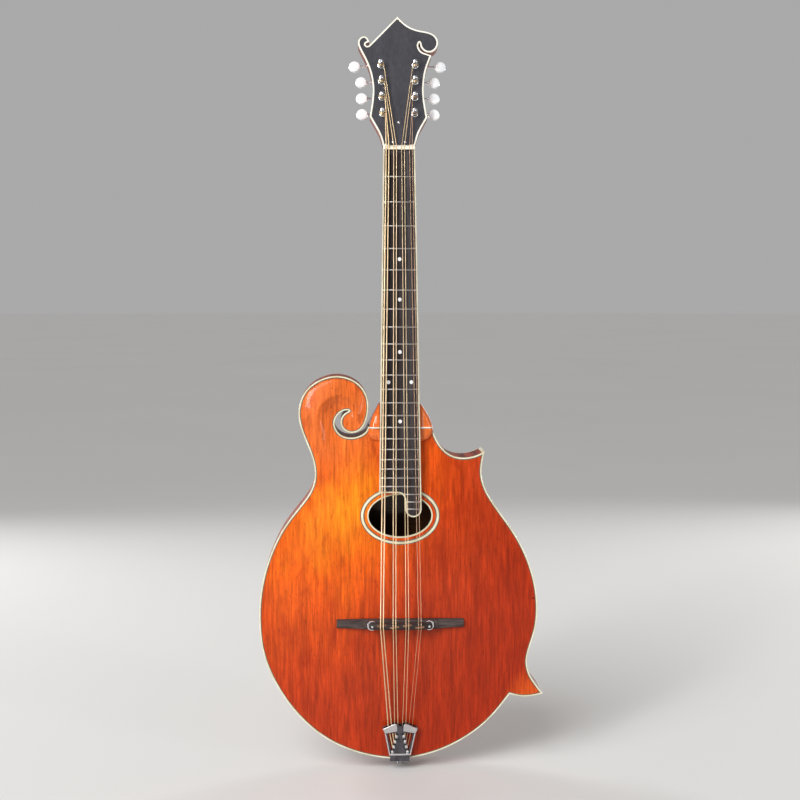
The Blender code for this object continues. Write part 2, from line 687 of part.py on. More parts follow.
def bridge_pieces(ebony, metal, top_rise):
    saddle_low = STRING_N_AT_BRIDGE - SADDLE_HEIGHT
    wheel_low = saddle_low - GAP - WHEEL_THICKNESS
    deck = wheel_low - WHEEL_DROP
    front, back = BRIDGE_S + BRIDGE_DEPTH / 2, BRIDGE_S - BRIDGE_DEPTH / 2
    stud_axes = [out_of(BODY, side * WHEEL_X, BRIDGE_S, 0) for side in (-1, 1)]

    sections = []
    half_xs = [0, 12, 24, 36, BRIDGE_STEP, BRIDGE_STEP + 0.4, 60, 72, BRIDGE_HALF_LENGTH]
    for x in [-x for x in half_xs[:0:-1]] + half_xs:
        under = RIM + GAP + 0.2 + max(float(top_rise(x, s)) for s in (front, BRIDGE_S, back))
        top = deck - (1.5 + 3.1 * (abs(x) - BRIDGE_STEP) / 35 if abs(x) > BRIDGE_STEP else 0)
        sections.append([(x, back, under), (x, front, under), (x, front - 1.2, top), (x, back + 1.2, top)])
    base = loft("bridge_base", sections, ebony, BODY, smooth=False)
    stud = [(STUD_RADIUS, deck - 4), (STUD_RADIUS, STRING_N_AT_BRIDGE - 2.6)]
    combine(base, [lathe("stud", stud, 10, metal, axis) for axis in stud_axes], "UNION")

    half = SADDLE_DEPTH / 2
    crown = [(29, GAP, half), (33, 2.0, half), (39.6, 2.2, half), (41.2, 2.5, half - 1), (SADDLE_HALF_LENGTH, 3, 2.2)]
    crown = [(-x, drop, half) for x, drop, half in crown[::-1]] + crown
    sections = []
    for x, drop, half in crown:
        top = STRING_N_AT_BRIDGE - drop
        section = [(half, saddle_low), (half, top - 2.4), (1.6, top), (-1.6, top), (-half, top - 2.4)]
        sections.append([(x, BRIDGE_S - half, saddle_low)] + [(x, BRIDGE_S + s, n) for s, n in section])
    saddle = loft("bridge_saddle", sections, ebony, BODY, smooth=False)
    bore = [(STUD_RADIUS + GAP, saddle_low - 2), (STUD_RADIUS + GAP, STRING_N_AT_BRIDGE + 2)]
    combine(saddle, [lathe("bore", bore, 10, metal, axis) for axis in stud_axes], "DIFFERENCE")

    for side, word in ((-1, "bass"), (1, "treble")):
        centre = (side * WHEEL_X, BRIDGE_S)
        rim = ring(centre, (WHEEL_RADIUS, WHEEL_RADIUS), 24)
        rim = np.array(centre) + (rim - centre) * np.where(np.arange(24) % 2, 0.96, 1)[:, None]
        bore = ring(centre, (STUD_RADIUS + GAP, STUD_RADIUS + GAP), 10)
        slab(f"bridge_wheel_{word}", [rim, bore], wheel_low, wheel_low + WHEEL_THICKNESS, metal, BODY)


def tail_outline():
    """Outside of the tailpiece's plate, from its foot."""
    right = np.array([(14.2, 0.5), (20.6, 34), (23.4, 41.2), (9, 47.8), (5.5, 48.2), (1.6, 46)])
    return np.vstack([right, right[::-1] * (-1, 1)])


def tailpiece(metal):
    left = np.array([(-11.6, 7), (-10.8, 5.2), (-9.8, 7), (-5.6, 34.4), (-17.6, 34.4)])
    plate = slab("tailpiece", [tail_outline(), left, left * (-1, 1)], 0, 2.2, metal, TAIL)
    upper = np.array([p for p in tail_outline() if p[1] > 33])
    bar = slab("bar", [upper], 5.6, 8.2, metal, TAIL)
    leg = np.array([(-20.8, 35.6), (-19, 35.6), (-21, 40.4), (-22.8, 40.4)])
    legs = [slab("leg", [leg * (side, 1)], 1, 7, metal, TAIL) for side in (-1, 1)]
    half, high = 13, BODY_BOTTOM - 0.5
    low = high - 1.6
    hanger = slab("hanger", [[(-half, low), (half, low), (half, high), (-half, high)]], -7, 35, metal, BODY)
    over = [(-half, low), (half, low), (half, high + 9), (-half, high + 9)]
    corner = slab("corner", [over], 33.4, 35.6, metal, BODY)
    combine(plate, [bar, *legs, hanger, corner], "UNION")
    combine(plate, [pin_bore(metal)], "DIFFERENCE")


def end_pin(metal):
    knob = [(4.3, 0), (4.3, 1.6), (3.1, 2.8), (2.7, 4.6), (2.7, 9.1), (3.2, 10.3), (4.2, 10.9), (4.2, 11.6)]
    shank = [(PIN_RADIUS, 11.6), (PIN_RADIUS, 36.5), (2.2, 38.5)]
    lathe("endpin", knob + shank, 14, metal, BODY @ Matrix.Translation((0, -JOINT_Z, 0)))


# ---------------------------------------------------------------- tuning machines


def strip_outline(width):
    """Outline of one machine strip: straight sides and ornamental pointed ends."""
    top, bottom = POST_S[3] - POST_S[0] + 22, -12.8
    half = [(width, bottom + 6.5), (width * 0.6, bottom + 2), (0, bottom)]
    upper = [(width, top - 9), (width * 0.8, top - 5), (width * 0.35, top - 1), (0, top)]
    right = np.array(half[::-1] + upper)
    return np.vstack([right, right[::-1][1:-1] * (-1, 1)])


def worm_axis(index, side):
    """Frame of one worm shaft, its s axis pointing outwards to the button."""
    middle = (0, POST_S[index] - POST_S[0] + WORM_OFFSET, MACHINE_N)
    return machine_frame(side) @ Matrix.Translation(middle) @ Matrix.Rotation(-side * math.pi / 2, 4, "Z")


def machine_strips(nickel):
    """The plate screwed to the head's back on each side, and the engraved cover over its gears."""
    base_low, base_high = -HEAD_THICKNESS - STRIP_THICKNESS, -HEAD_THICKNESS - GAP
    cover_low, cover_high = MACHINE_N - WORM_RADIUS - COVER_WALL - GAP, base_low - GAP
    rows = [s - POST_S[0] for s in POST_S]
    outline = strip_outline(STRIP_HALF_WIDTH)
    hump = [(HUMP_RADIUS, 0.2 - STRIP_HALF_WIDTH), (HUMP_RADIUS, STRIP_HALF_WIDTH - 0.2)]
    inner = strip_outline(STRIP_HALF_WIDTH - 1.0)
    inner[:, 1] = np.clip(inner[:, 1], -7, rows[3] + 12)
    worm_room = [(WORM_RADIUS + GAP, -6), (WORM_RADIUS + GAP, 6)]
    shaft_room = [(SHAFT_RADIUS + GAP, -7.7), (SHAFT_RADIUS + GAP, 14)]
    for side, word in ((-1, "bass"), (1, "treble")):
        place = machine_frame(side)
        worms = [worm_axis(i, side) for i in range(4)]
        holes = [ring((0, s), (POST_RADIUS + GAP, POST_RADIUS + GAP), 10) for s in rows]
        slab(f"machine_base_{word}", [outline, *holes], base_low, base_high, nickel, place)
        cover = slab(f"machine_cover_{word}", [outline], cover_low, cover_high, nickel, place)
        combine(cover, [lathe("hump", hump, 12, nickel, at) for at in worms], "UNION")
        clip = slab("clip", [strip_outline(STRIP_HALF_WIDTH + 4)], MACHINE_N - 9, cover_high, nickel, place)
        combine(cover, [clip], "INTERSECT")
        cuts = [slab("cavity", [inner], cover_low + COVER_WALL, cover_high + 2, nickel, place)]
        cuts += [lathe("worm_room", worm_room, 12, nickel, at) for at in worms]
        cuts += [lathe("shaft_room", shaft_room, 8, nickel, at) for at in worms]
        combine(cover, cuts, "DIFFERENCE")


def machine_keys(nickel, pearl):
    """Posts with their gears, worm shafts and buttons, four a side."""
    foot = [(POST_RADIUS, MACHINE_N - 1.4), (POST_RADIUS, 2.4)]
    waist = [(2.6, 3.4), (2.6, POST_TOP - 4.5), (3.2, POST_TOP - 1), (3.0, POST_TOP)]
    post = lathe("post", foot + waist, 10, nickel, None)
    teeth = ring((0, 0), (GEAR_RADIUS, GEAR_RADIUS), 2 * GEAR_TEETH)
    teeth *= np.where(np.arange(2 * GEAR_TEETH) % 2, 0.8, 1.0)[:, None]
    upright = Matrix.Rotation(-math.pi / 2, 4, "X")
    gear = slab("gear", [teeth], MACHINE_N - 1.5, MACHINE_N + 1.5, nickel, upright)
    post_mesh = mesh_of(combine(post, [gear], "UNION"))

    half = BUTTON_THICKNESS / 2
    rim = [(BUTTON_RADIUS - 0.7, -2.3), (BUTTON_RADIUS, 0), (BUTTON_RADIUS - 0.7, 2.3)]
    profile = [(BUTTON_RADIUS - 2.4, -half), *rim, (BUTTON_RADIUS - 2.4, half)]
    button = lathe("button", profile, 16, pearl, Matrix.Rotation(math.pi / 2, 4, "X"))
    button.data.transform(button.matrix_world)
    button.matrix_world = Matrix()
    bore = lathe("bore", [(SHAFT_RADIUS + GAP, -12), (SHAFT_RADIUS + GAP, 1)], 8, pearl, None)
    button_mesh = mesh_of(combine(button, [bore], "DIFFERENCE"))

    inner = [(SHAFT_RADIUS, -7.4), (SHAFT_RADIUS, -5.6), (WORM_RADIUS, -5.5), (WORM_RADIUS, 5.5)]
    for side, word in ((-1, "bass"), (1, "treble")):
        for i, reach in enumerate(BUTTON_REACH):
            tag = f"{word}_{i + 1}"
            place_object(f"string_post_{tag}", post_mesh, post_axis(i, side))
            at = worm_axis(i, side)
            outer = [(SHAFT_RADIUS, 5.6), (SHAFT_RADIUS, reach)]
            lathe(f"worm_shaft_{tag}", inner + outer, 8, nickel, at)
            place_object(f"tuner_button_{tag}", button_mesh, at @ Matrix.Translation((0, reach, 0)))


# ---------------------------------------------------------------- strings


def string_route(index):
    """Where one string runs: its pin, under the tailpiece's bar, saddle, nut, and its post."""
    radius = STRING_RADIUS[index]
    course, hand = divmod(index, 2)
    shift = (2 * hand - 1) * COURSE_HALF_GAP
    pin = min(index, 7 - index)
    tail_x = STRING_AT_TAIL[index]
    pin_x = math.copysign(6.9 - 0.6 * pin, tail_x)
    level_n = 2.2 + GAP + 1.0
    points = [TAIL @ Vector((pin_x + 0.32 * (tail_x - pin_x), 12 + 7.4 * pin, level_n))]
    points.append(TAIL @ Vector((tail_x, 43.5, level_n)))
    over_saddle = STRING_N_AT_BRIDGE + GAP + radius
    points.append(BODY @ Vector((COURSE_AT_BRIDGE[course] + shift, BRIDGE_S, over_saddle)))
    nut_edge = NUT_S + GAP + NUT_THICKNESS - 0.6
    points.append(NECK @ Vector((COURSE_AT_NUT[course] + shift, nut_edge, 1.4 + GAP + radius)))
    side = -1 if index < 4 else 1
    post = min(index, 7 - index)
    near = machine_frame(side) @ Vector((-side * (2.6 + radius + 2 * GAP), POST_S[post] - POST_S[0], 0))
    level_s = HEAD.inverted() @ near
    points.append(HEAD @ Vector((level_s.x, level_s.y, STRING_LEVEL[post])))
    return radius, points


def strings(bronze):
    for index in range(8):
        radius, points = string_route(index)
        curve = bpy.data.curves.new(f"string_{index + 1}", "CURVE")
        curve.dimensions = "3D"
        curve.bevel_depth = radius * MM
        curve.bevel_resolution = 1
        curve.use_fill_caps = True
        run = curve.splines.new("POLY")
        run.points.add(len(points) - 1)
        for target, point in zip(run.points, points):
            target.co = (*(point * MM), 1)
        curve.materials.append(bronze)
        place_object(f"string_{index + 1}", curve)


def main():
    for old in list(bpy.data.objects):
        bpy.data.objects.remove(old, do_unlink=True)
    spruce = material("spruce", (0.50, 0.14, 0.03), 0.25)
    maple = material("maple", (0.40, 0.09, 0.03), 0.25)
    cream = material("cream", (0.80, 0.74, 0.55), 0.4)
    ebony = material("ebony", (0.03, 0.027, 0.03), 0.45)
    bone = material("bone", (0.85, 0.82, 0.72), 0.35)
    nickel = material("nickel", (0.78, 0.78, 0.80), 0.22, 1.0)
    pearl = material("pearl", (0.88, 0.88, 0.86), 0.25)
    bronze = material("bronze", (0.72, 0.50, 0.28), 0.35, 1.0)
    top_rise = body_pieces((spruce, maple), cream)
    neck_piece(maple, top_rise)
    overlay_and_cover(ebony)
    board_and_nut(ebony, bone)
    bridge_pieces(ebony, nickel, top_rise)
    tailpiece(nickel)
    end_pin(nickel)
    machine_strips(nickel)
    machine_keys(nickel, pearl)
    strings(bronze)


main()
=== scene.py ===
"""The looks of an eight-string scroll-body mandocello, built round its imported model.

Sizes are in millimetres, in the same local frames as the CAD. In each, x runs across to the
treble side, s runs up towards the tip of the headstock, and n comes out of the front:
  BODY   s = 0 at the top edge of the soundboard, n = 0 in the middle of the ribs
  NECK   s = 0 there too, n = 0 on the fingerboard's playing surface
  HEAD   s = 0 at the nut, n = 0 on the front of the headstock
  TAIL   s = 0 at the tailpiece's foot, n = 0 on the underside of its plate
Every mesh is made in metres in the row frame, so object coordinates are places on the
instrument. Materials use them for the grain, the flame and the sunburst.
"""

import math

import bpy
import numpy as np
from mathutils import Matrix, Vector
from mathutils.geometry import delaunay_2d_cdt


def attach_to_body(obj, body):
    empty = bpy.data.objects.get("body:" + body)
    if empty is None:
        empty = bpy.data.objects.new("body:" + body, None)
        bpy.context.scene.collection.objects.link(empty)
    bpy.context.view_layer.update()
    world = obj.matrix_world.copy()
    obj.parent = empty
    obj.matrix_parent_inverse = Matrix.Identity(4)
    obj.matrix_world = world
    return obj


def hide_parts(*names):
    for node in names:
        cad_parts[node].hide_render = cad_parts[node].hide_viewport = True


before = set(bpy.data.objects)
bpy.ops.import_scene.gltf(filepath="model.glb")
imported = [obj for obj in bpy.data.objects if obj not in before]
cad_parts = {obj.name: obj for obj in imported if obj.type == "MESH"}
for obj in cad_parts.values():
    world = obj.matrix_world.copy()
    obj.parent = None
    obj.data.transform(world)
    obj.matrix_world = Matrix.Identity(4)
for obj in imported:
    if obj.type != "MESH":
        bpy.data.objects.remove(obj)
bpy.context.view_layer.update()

MM = 0.001

# Body
JOINT_Z = 461.5
BODY_BOTTOM = -447.5
RIB_HALF = 25.0
RIM = 29.0
ARCH = 14.0
PLATE_SLOPE = 0.97
RIB_WIDTH = 2.3
BINDING_WIDTH = 2.0
LINE_WIDTH = 0.9
HOLE_CENTRE = (0, -117.0)
HOLE = (41.5, 27.5)  # half width and half height
HOLE_EDGE = 1.9
ROSETTE = [(47.0, 32.8), (48.5, 34.3), (51.4, 37.2), (52.5, 38.3)]
SCROLL_HEIGHT = 6.5
EDGE_EASE = 7.0  # the arching starts this gently inside the purfling
LOWER_TIP = 46  # how far the lower point's block reaches up the waist
UPPER_TIP = 9  # how far the upper point's block reaches to each side

# Neck and head
NECK_ANGLE = math.radians(4.3)
HEAD_ANGLE = math.radians(12.0)
BOARD_ABOVE_RIM = 12.0
BOARD_THICKNESS = 6.4
BOARD_BINDING = 1.9
NUT_S = 364.3
NUT_WIDTH = 41.8
NUT_THICKNESS = 4.4
STRING_LENGTH = 628.65
FRETS = 24
FRET_HALF = 0.95
HEAD_S = 367.3
HEAD_N = -4.0
HEAD_THICKNESS = 15.0
OVERLAY = 2.0
HEAD_BINDING = 2.1
BOARD_END_HALF_WIDTH = 28.1
BOARD_BASS_END = -86.0
BOARD_TREBLE_END = -117.9

# Bridge
BRIDGE_S = -260.0
STRING_N_AT_BRIDGE = 66.5
BRIDGE_HALF_LENGTH = 84.0
BRIDGE_DEPTH = 13.5
SADDLE_HALF_LENGTH = 42.0
BRIDGE_STEP = 49.0  # the foot steps down here by the drop, and falls by the slope to its ends
BRIDGE_DROP = 1.5
BRIDGE_SLOPE = 3.1
SADDLE_DEPTH = 8.4
SADDLE_HEIGHT = 9.5
STEP_HALF_LENGTH = 2.9
WHEEL_X = 37.5
WHEEL_RADIUS = 6.5
WHEEL_THICKNESS = 3.0
WHEEL_DROP = 2.2
STUD_RADIUS = 2.0

# Tuning machines
POST_S = [48.0 + 22.87 * i for i in range(4)]
POST_X = 21.3
MACHINE_LEAN = math.radians(1.29)
POST_RADIUS = 3.0
POST_WAIST = 2.6  # radius where the string is wound
POST_TOP = 13.5
STRING_LEVEL = [4.8, 7.8, 6.2, 6.2]
GEAR_TEETH = 14
GEAR_RADIUS = 4.15
WORM_OFFSET = 7.0
WORM_RADIUS = 2.5
MACHINE_N = -20.0
SHAFT_RADIUS = 1.5
BUTTON_RADIUS = 7.7
BUTTON_REACH = [26.5, 26.5, 26.5, 34.7]
STRIP_HALF_WIDTH = 7.9

# Strings, from the bass side
WRAP_STEPS = 28  # points in one turn of a string round its post
STRING_RADIUS = [0.9, 0.9, 0.62, 0.62, 0.45, 0.45, 0.3, 0.3]
COURSE_AT_NUT = [-15.2, -5.4, 5.0, 15.2]
COURSE_AT_BRIDGE = [-24.9, -8.45, 8.45, 24.9]
COURSE_HALF_GAP = 1.8
STRING_AT_TAIL = [-16.0, -11.6, -7.4, -3.0, 3.0, 7.4, 11.6, 16.0]
GAP = 0.3

# Tailpiece
TAIL_ANGLE = math.radians(9.6)
TAIL_FOOT = (0.0, -440.5, 33.5)

# Surroundings, in metres, and the lens in millimetres
FLOOR_RADIUS = 40.0
LIT_POINT = (0, 0, 0.6)
CAMERA_AZIMUTH = math.radians(-2.5)
CAMERA_DISTANCE = 1.9
LENS = 65.2

# Side path of the body from the bass end of the neck joint, (x, s), corner to corner
THROAT = [
    (-41.5, 0), (-44.5, -6.5), (-50.5, -11), (-57, -13.6), (-64, -14.5), (-73.1, -13), (-80.3, -8.3),
    (-85.1, -0.3), (-85.4, 7.7), (-81, 16.1), (-74.2, 20.9), (-67, 21.8),
]
SCROLL = [
    (-66.6, 21.0), (-70.5, 18.9), (-75.4, 14.3), (-77.9, 6.3), (-74.3, -3.2), (-63.2, -8.2), (-51, -3.2),
    (-44, 9), (-41.2, 26), (-45, 44.5), (-57, 58.8), (-80, 66.9), (-105, 61.8), (-125, 45.3), (-133.1, 17),
    (-127.5, -9), (-117, -36), (-112, -59), (-115.5, -80.7), (-130.2, -103.6), (-152.1, -132.5),
    (-168.4, -163.5), (-181.9, -206.7), (-186.6, -255), (-180.9, -304.7), (-164.2, -345.8),
    (-138.9, -382.9), (-98.8, -418.8), (-50.2, -440.5), (0, BODY_BOTTOM), (44, -440.3), (84.6, -422.3),
    (119.9, -395.3), (148, -361.3),
]
LOWER_POINT = [(148, -361.3), (157, -363.6), (166.5, -364.9), (179, -364), (192.5, -361.2)]
WAIST = [
    (192.5, -361.2), (184.4, -350), (177, -339), (172, -326), (171, -315), (173.8, -300.6), (179.3, -282.8),
    (183.3, -265.1), (184.6, -247.4), (182.6, -220.2), (176.7, -194.5), (163.8, -161.9), (144.8, -130.7),
    (124.2, -101.6), (113, -81), (108.8, -62), (110, -46.5), (112.7, -33.5),
]
CUTAWAY = [
    (112.7, -33.5), (104.5, -37.8), (95, -40.8), (84, -41.8), (72, -39.8), (60.5, -33), (50.5, -20.5),
    (44.8, -8), (42.5, 0),
]
SCROLL_BLOCK_END = (-122, -23)
SIDE_PIECES = [THROAT, SCROLL, LOWER_POINT, WAIST, CUTAWAY]
RIDGE = [
    (-94, -40), (-101, -19), (-107, -4), (-109, 15), (-101, 32.5), (-86, 41.7), (-69.4, 39.3),
    (-58.8, 28.7), (-55.4, 17.3),
]
SHOULDER_TREBLE = [(42.5, 0), (36.5, 10.5), (29.5, 21.5), (20, 31), (9.3, 35.5)]
SHOULDER_BASS = [(-9.3, 35.5), (-20, 31), (-29, 21.5), (-36, 10.5), (-41.5, 0)]
BUTTON_CENTRE = 41.0
BUTTON_HALF = 9.3
CHEEK_TREBLE = [
    (28.4, 29.5), (34.1, 20.9), (39.6, 11), (43.0, 1.1), (43.9, -5.5), (41.5, -12), (36.3, -17.2),
    (28.6, -19.2),
]
CHEEK_BASS = [
    (-28.4, 29.5), (-33, 19.8), (-36.8, 12), (-39.6, 2.2), (-41.5, -5.5), (-40.4, -13.2), (-35.2, -17.6),
    (-28.6, -19.2),
]
CHEEK_HEIGHT = 6.0
NECK_DEPTH = [  # s, depth of the neck behind the board
    (363, 14.2), (350, 14.5), (220, 16), (110, 17.3), (95, 18.2), (84, 21), (75, 26.5), (67, 34.5),
    (59, 43.5), (52, 51.5), (49, 56),
]

# Headstock outline, (x, s), corner to corner and clockwise from the nut's bass end
HEAD_PIECES = [
    [(-20.9, 2.6), (-22, 8), (-24, 15.5), (-27, 23), (-31.4, 31.5), (-38, 44)],
    [
        (-38, 44), (-36.5, 54), (-34.6, 68), (-33.8, 80), (-35, 97), (-38.8, 113), (-44.8, 128),
        (-50.3, 139.5), (-52.9, 149), (-51, 154.6), (-45.6, 158), (-40.8, 156), (-38, 150),
    ],
    [(-38, 150), (-41, 149), (-43, 146.8), (-41.3, 144.2), (-38.2, 145)],
    [(-38.2, 145), (0, 186.8)],
    [
        (0, 186.8), (5, 181.2), (12, 174.7), (21, 169.6), (31, 166.7), (41, 164.6), (49, 160.5),
        (53.6, 153), (53.2, 145), (48.4, 138), (42, 135.6), (36, 137.3), (31.4, 142.3), (29.6, 149.6),
    ],
    [(29.1, 150), (27.6, 146), (28.8, 140.2), (32.5, 136), (38, 133.7), (44.7, 131.2)],
    [(44.7, 131.2), (41.2, 122), (37, 109), (34.6, 95), (33.6, 80), (34.6, 65), (36.2, 53), (37.8, 43)],
    [(37.8, 43), (32.4, 33), (27.6, 24), (24.4, 15.5), (22.4, 8), (20.9, 2.6)],
]


def leaning(origin, tilt):
    """Matrix of a local (x, s, n) frame, in millimetres, leaning back by tilt."""
    up = Vector((0, math.sin(tilt), math.cos(tilt)))
    out = Vector((0, -math.cos(tilt), math.sin(tilt)))
    axes = Matrix((Vector((1, 0, 0)), up, out)).transposed().to_4x4()
    return Matrix.Translation(origin) @ axes


BODY = leaning((0, 0, JOINT_Z), 0)
NECK = BODY @ Matrix.Translation((0, 0, RIM + BOARD_ABOVE_RIM)) @ Matrix.Rotation(-NECK_ANGLE, 4, "X")
HEAD = NECK @ Matrix.Translation((0, HEAD_S, HEAD_N)) @ Matrix.Rotation(-HEAD_ANGLE, 4, "X")
TAIL = BODY @ Matrix.Translation(TAIL_FOOT) @ Matrix.Rotation(TAIL_ANGLE, 4, "X")


# ---------------------------------------------------------------- curves and outlines


def spline(anchors, spans=16):
    """Closely spaced points of the smooth curve through the anchors."""
    knots = np.array(anchors, float)
    if len(knots) == 2:
        return knots
    steps = np.linalg.norm(np.diff(knots, axis=0), axis=1) ** 0.8
    count = len(knots)
    system = np.eye(count)
    right = np.zeros(knots.shape)
    for i in range(1, count - 1):
        before, after = steps[i - 1], steps[i]
        system[i, i - 1 : i + 2] = before, 2 * (before + after), after
        right[i] = 6 * ((knots[i + 1] - knots[i]) / after - (knots[i] - knots[i - 1]) / before)
    bend = np.linalg.solve(system, right)
    points = []
    for i, step in enumerate(steps):
        for t in np.arange(spans) / spans:
            a, b = 1 - t, t
            curve = (a**3 - a) * bend[i] + (b**3 - b) * bend[i + 1]
            points.append(a * knots[i] + b * knots[i + 1] + curve * step**2 / 6)
    return np.array(points + [knots[-1]])


def even(line, spacing):
    """The line resampled at an even spacing, keeping its ends."""
    lengths = np.concatenate([[0], np.cumsum(np.linalg.norm(np.diff(line, axis=0), axis=1))])
    marks = np.linspace(0, lengths[-1], max(2, int(round(lengths[-1] / spacing)) + 1))
    return np.column_stack([np.interp(marks, lengths, line[:, i]) for i in range(line.shape[1])])


def path(pieces, spacing=1.3):
    """One open line through several pieces that meet at corners."""
    lines = [even(spline(piece), spacing) for piece in pieces]
    return np.vstack([line[:-1] for line in lines] + [lines[-1][-1:]])


def arc(centre, radii, start, end, steps):
    """Points on a round or oval arc, angles in degrees, both ends included."""
    turn = np.radians(np.linspace(start, end, steps + 1))
    return np.array(centre) + np.column_stack([radii[0] * np.cos(turn), radii[1] * np.sin(turn)])


def ring(centre, radii, steps):
    return arc(centre, radii, 0, 360, steps)[:-1]


def wound(loop, anticlockwise):
    x, y = loop[:, 0], loop[:, 1]
    area = float(np.sum(x * np.roll(y, -1) - y * np.roll(x, -1)))
    return loop if (area > 0) == anticlockwise else loop[::-1]


def smooth(value):
    """A gentle step from 0 to 1."""
    value = np.clip(value, 0, 1)
    return value * value * (3 - 2 * value)


def measured(points, line, closed=True):
    """How far each point is from a line, and on which side: positive to the line's left."""
    starts = line if closed else line[:-1]
    ends = np.roll(line, -1, axis=0) if closed else line[1:]
    along = ends - starts
    square = np.maximum((along**2).sum(1), 1e-12)
    far, side = np.empty(len(points)), np.empty(len(points))
    for first in range(0, len(points), 400):
        some = points[first : first + 400]
        reach = some[:, None] - starts[None]
        share = ((reach * along).sum(2) / square).clip(0, 1)
        away = np.linalg.norm(reach - share[..., None] * along, axis=2)
        best = away.argmin(1)
        rows = np.arange(len(some))
        far[first : first + 400] = away[rows, best]
        cross = along[best, 0] * reach[rows, best, 1] - along[best, 1] * reach[rows, best, 0]
        side[first : first + 400] = np.sign(cross)
    return far, side


def distance_to(points, line, closed=True):
    return measured(points, line, closed)[0]


def inside(points, loop):
    """Whether each point is within a loop."""
    found = np.zeros(len(points), bool)
    start, end = loop, np.roll(loop, -1, axis=0)
    rise = np.where(end[:, 1] == start[:, 1], 1e-12, end[:, 1] - start[:, 1])
    for first in range(0, len(points), 2000):
        x, y = points[first : first + 2000, 0, None], points[first : first + 2000, 1, None]
        spans = (start[:, 1] > y) != (end[:, 1] > y)
        crosses = x < (end[:, 0] - start[:, 0]) * (y - start[:, 1]) / rise + start[:, 0]
        found[first : first + 2000] = (spans & crosses).sum(1) % 2 == 1
    return found


def beside(line, width, closed=True):
    """The line moved to its left by width. Stretches that fold over themselves are dropped."""
    ahead = np.roll(line, -1, axis=0) - line
    ahead /= np.maximum(np.hypot(*ahead.T), 1e-9)[:, None]
    behind = np.roll(ahead, 1, axis=0)
    if not closed:
        ahead[-1], behind[0] = behind[-1], ahead[0]
    moved = []
    for point, a, b in zip(line, behind, ahead):
        left_a, left_b = np.array((-a[1], a[0])), np.array((-b[1], b[0]))
        turn = math.atan2(a[0] * b[1] - a[1] * b[0], float(a @ b))
        if turn < -0.9:
            for share in np.linspace(0, 1, 5):
                c, s = math.cos(turn * share), math.sin(turn * share)
                swung = (c * left_a[0] - s * left_a[1], s * left_a[0] + c * left_a[1])
                moved.append(point + width * np.array(swung))
        else:
            moved.append(point + width * (left_a + left_b) / (1 + float(left_a @ left_b)))
    moved = np.array(moved)
    return moved[distance_to(moved, line, closed) > 0.96 * abs(width)]


def strip(line, near, far):
    """A closed outline: the band between two distances to the left of an open line."""
    start = beside(line, near, False) if near else line
    return np.vstack([start, beside(line, far, False)[::-1]])


def stretch(line, start, stop):
    """The part of an open line between two lengths along it. A stop of 0 or less counts from its end."""
    lengths = np.concatenate([[0], np.cumsum(np.hypot(*np.diff(line, axis=0).T))])
    stop = stop if stop > 0 else lengths[-1] + stop
    marks = np.concatenate([[start], lengths[(lengths > start) & (lengths < stop)], [stop]])
    return np.column_stack([np.interp(marks, lengths, line[:, i]) for i in (0, 1)])


def nearest(line, point):
    return int(np.argmin(np.hypot(*(line - point).T)))


def inset(loop, width):
    """The loop moved to its left, point for point."""
    ahead = np.roll(loop, -1, axis=0) - loop
    ahead /= np.maximum(np.hypot(*ahead.T), 1e-9)[:, None]
    left = np.column_stack([-ahead[:, 1], ahead[:, 0]])
    before = np.roll(left, 1, axis=0)
    spread = np.maximum(1 + (left * before).sum(1), 0.4)
    return loop + width * (left + before) / spread[:, None]


def staggered(outline, spacing, margin, holes=(), box=None):
    """A staggered grid of points well inside an outline."""
    low, high = (outline.min(0), outline.max(0)) if box is None else map(np.array, box)
    rows = []
    for k, s in enumerate(np.arange(low[1], high[1], spacing * 0.866)):
        across = np.arange(low[0] + (k % 2) * spacing / 2, high[0], spacing)
        rows.append(np.column_stack([across, np.full(len(across), s)]))
    grid = np.vstack(rows)
    grid = grid[inside(grid, outline)]
    grid = grid[distance_to(grid, outline) > margin]
    for hole in holes:
        grid = grid[~inside(grid, hole)]
        grid = grid[distance_to(grid, hole) > margin]
    return grid


# ---------------------------------------------------------------- closed parts
# A part is (points, faces, normals): points in millimetres of the row frame, and the
# normal of each face's corners in turn, or None where plain smooth shading will do.


def placed(points, place):
    turn, move = np.array(place.to_3x3()), np.array(place.translation)
    return np.asarray(points, float) @ turn.T + move


def level(height):
    return height if callable(height) else lambda x, s: np.full(len(x), float(height))


def slopes(height, x, s, side):
    """Unit normals of a surface, pointing out of its front for side 1 and its back for side -1."""
    step = 0.05
    here = height(x, s)
    across, up = (height(x + step, s) - here) / step, (height(x, s + step) - here) / step
    normals = np.column_stack([-across * side, -up * side, np.full(len(x), float(side))])
    return normals / np.linalg.norm(normals, axis=1)[:, None]


def welded(points, faces, normals):
    """Joins the points that coincide, and drops faces with no area."""
    _, first, index = np.unique(np.round(points, 4), axis=0, return_index=True, return_inverse=True)
    index = index.reshape(-1)
    kept, corners, start = [], [], 0
    for face in faces:
        joined = [int(index[i]) for i in face]
        size = len(face)
        whole = [k for k in range(size) if joined[k] != joined[k - 1]]
        if len(set(joined)) == len(whole) and len(whole) > 2:
            kept.append([joined[k] for k in whole])
            corners += [start + k for k in whole]
        start += size
    return points[first], kept, normals[corners]


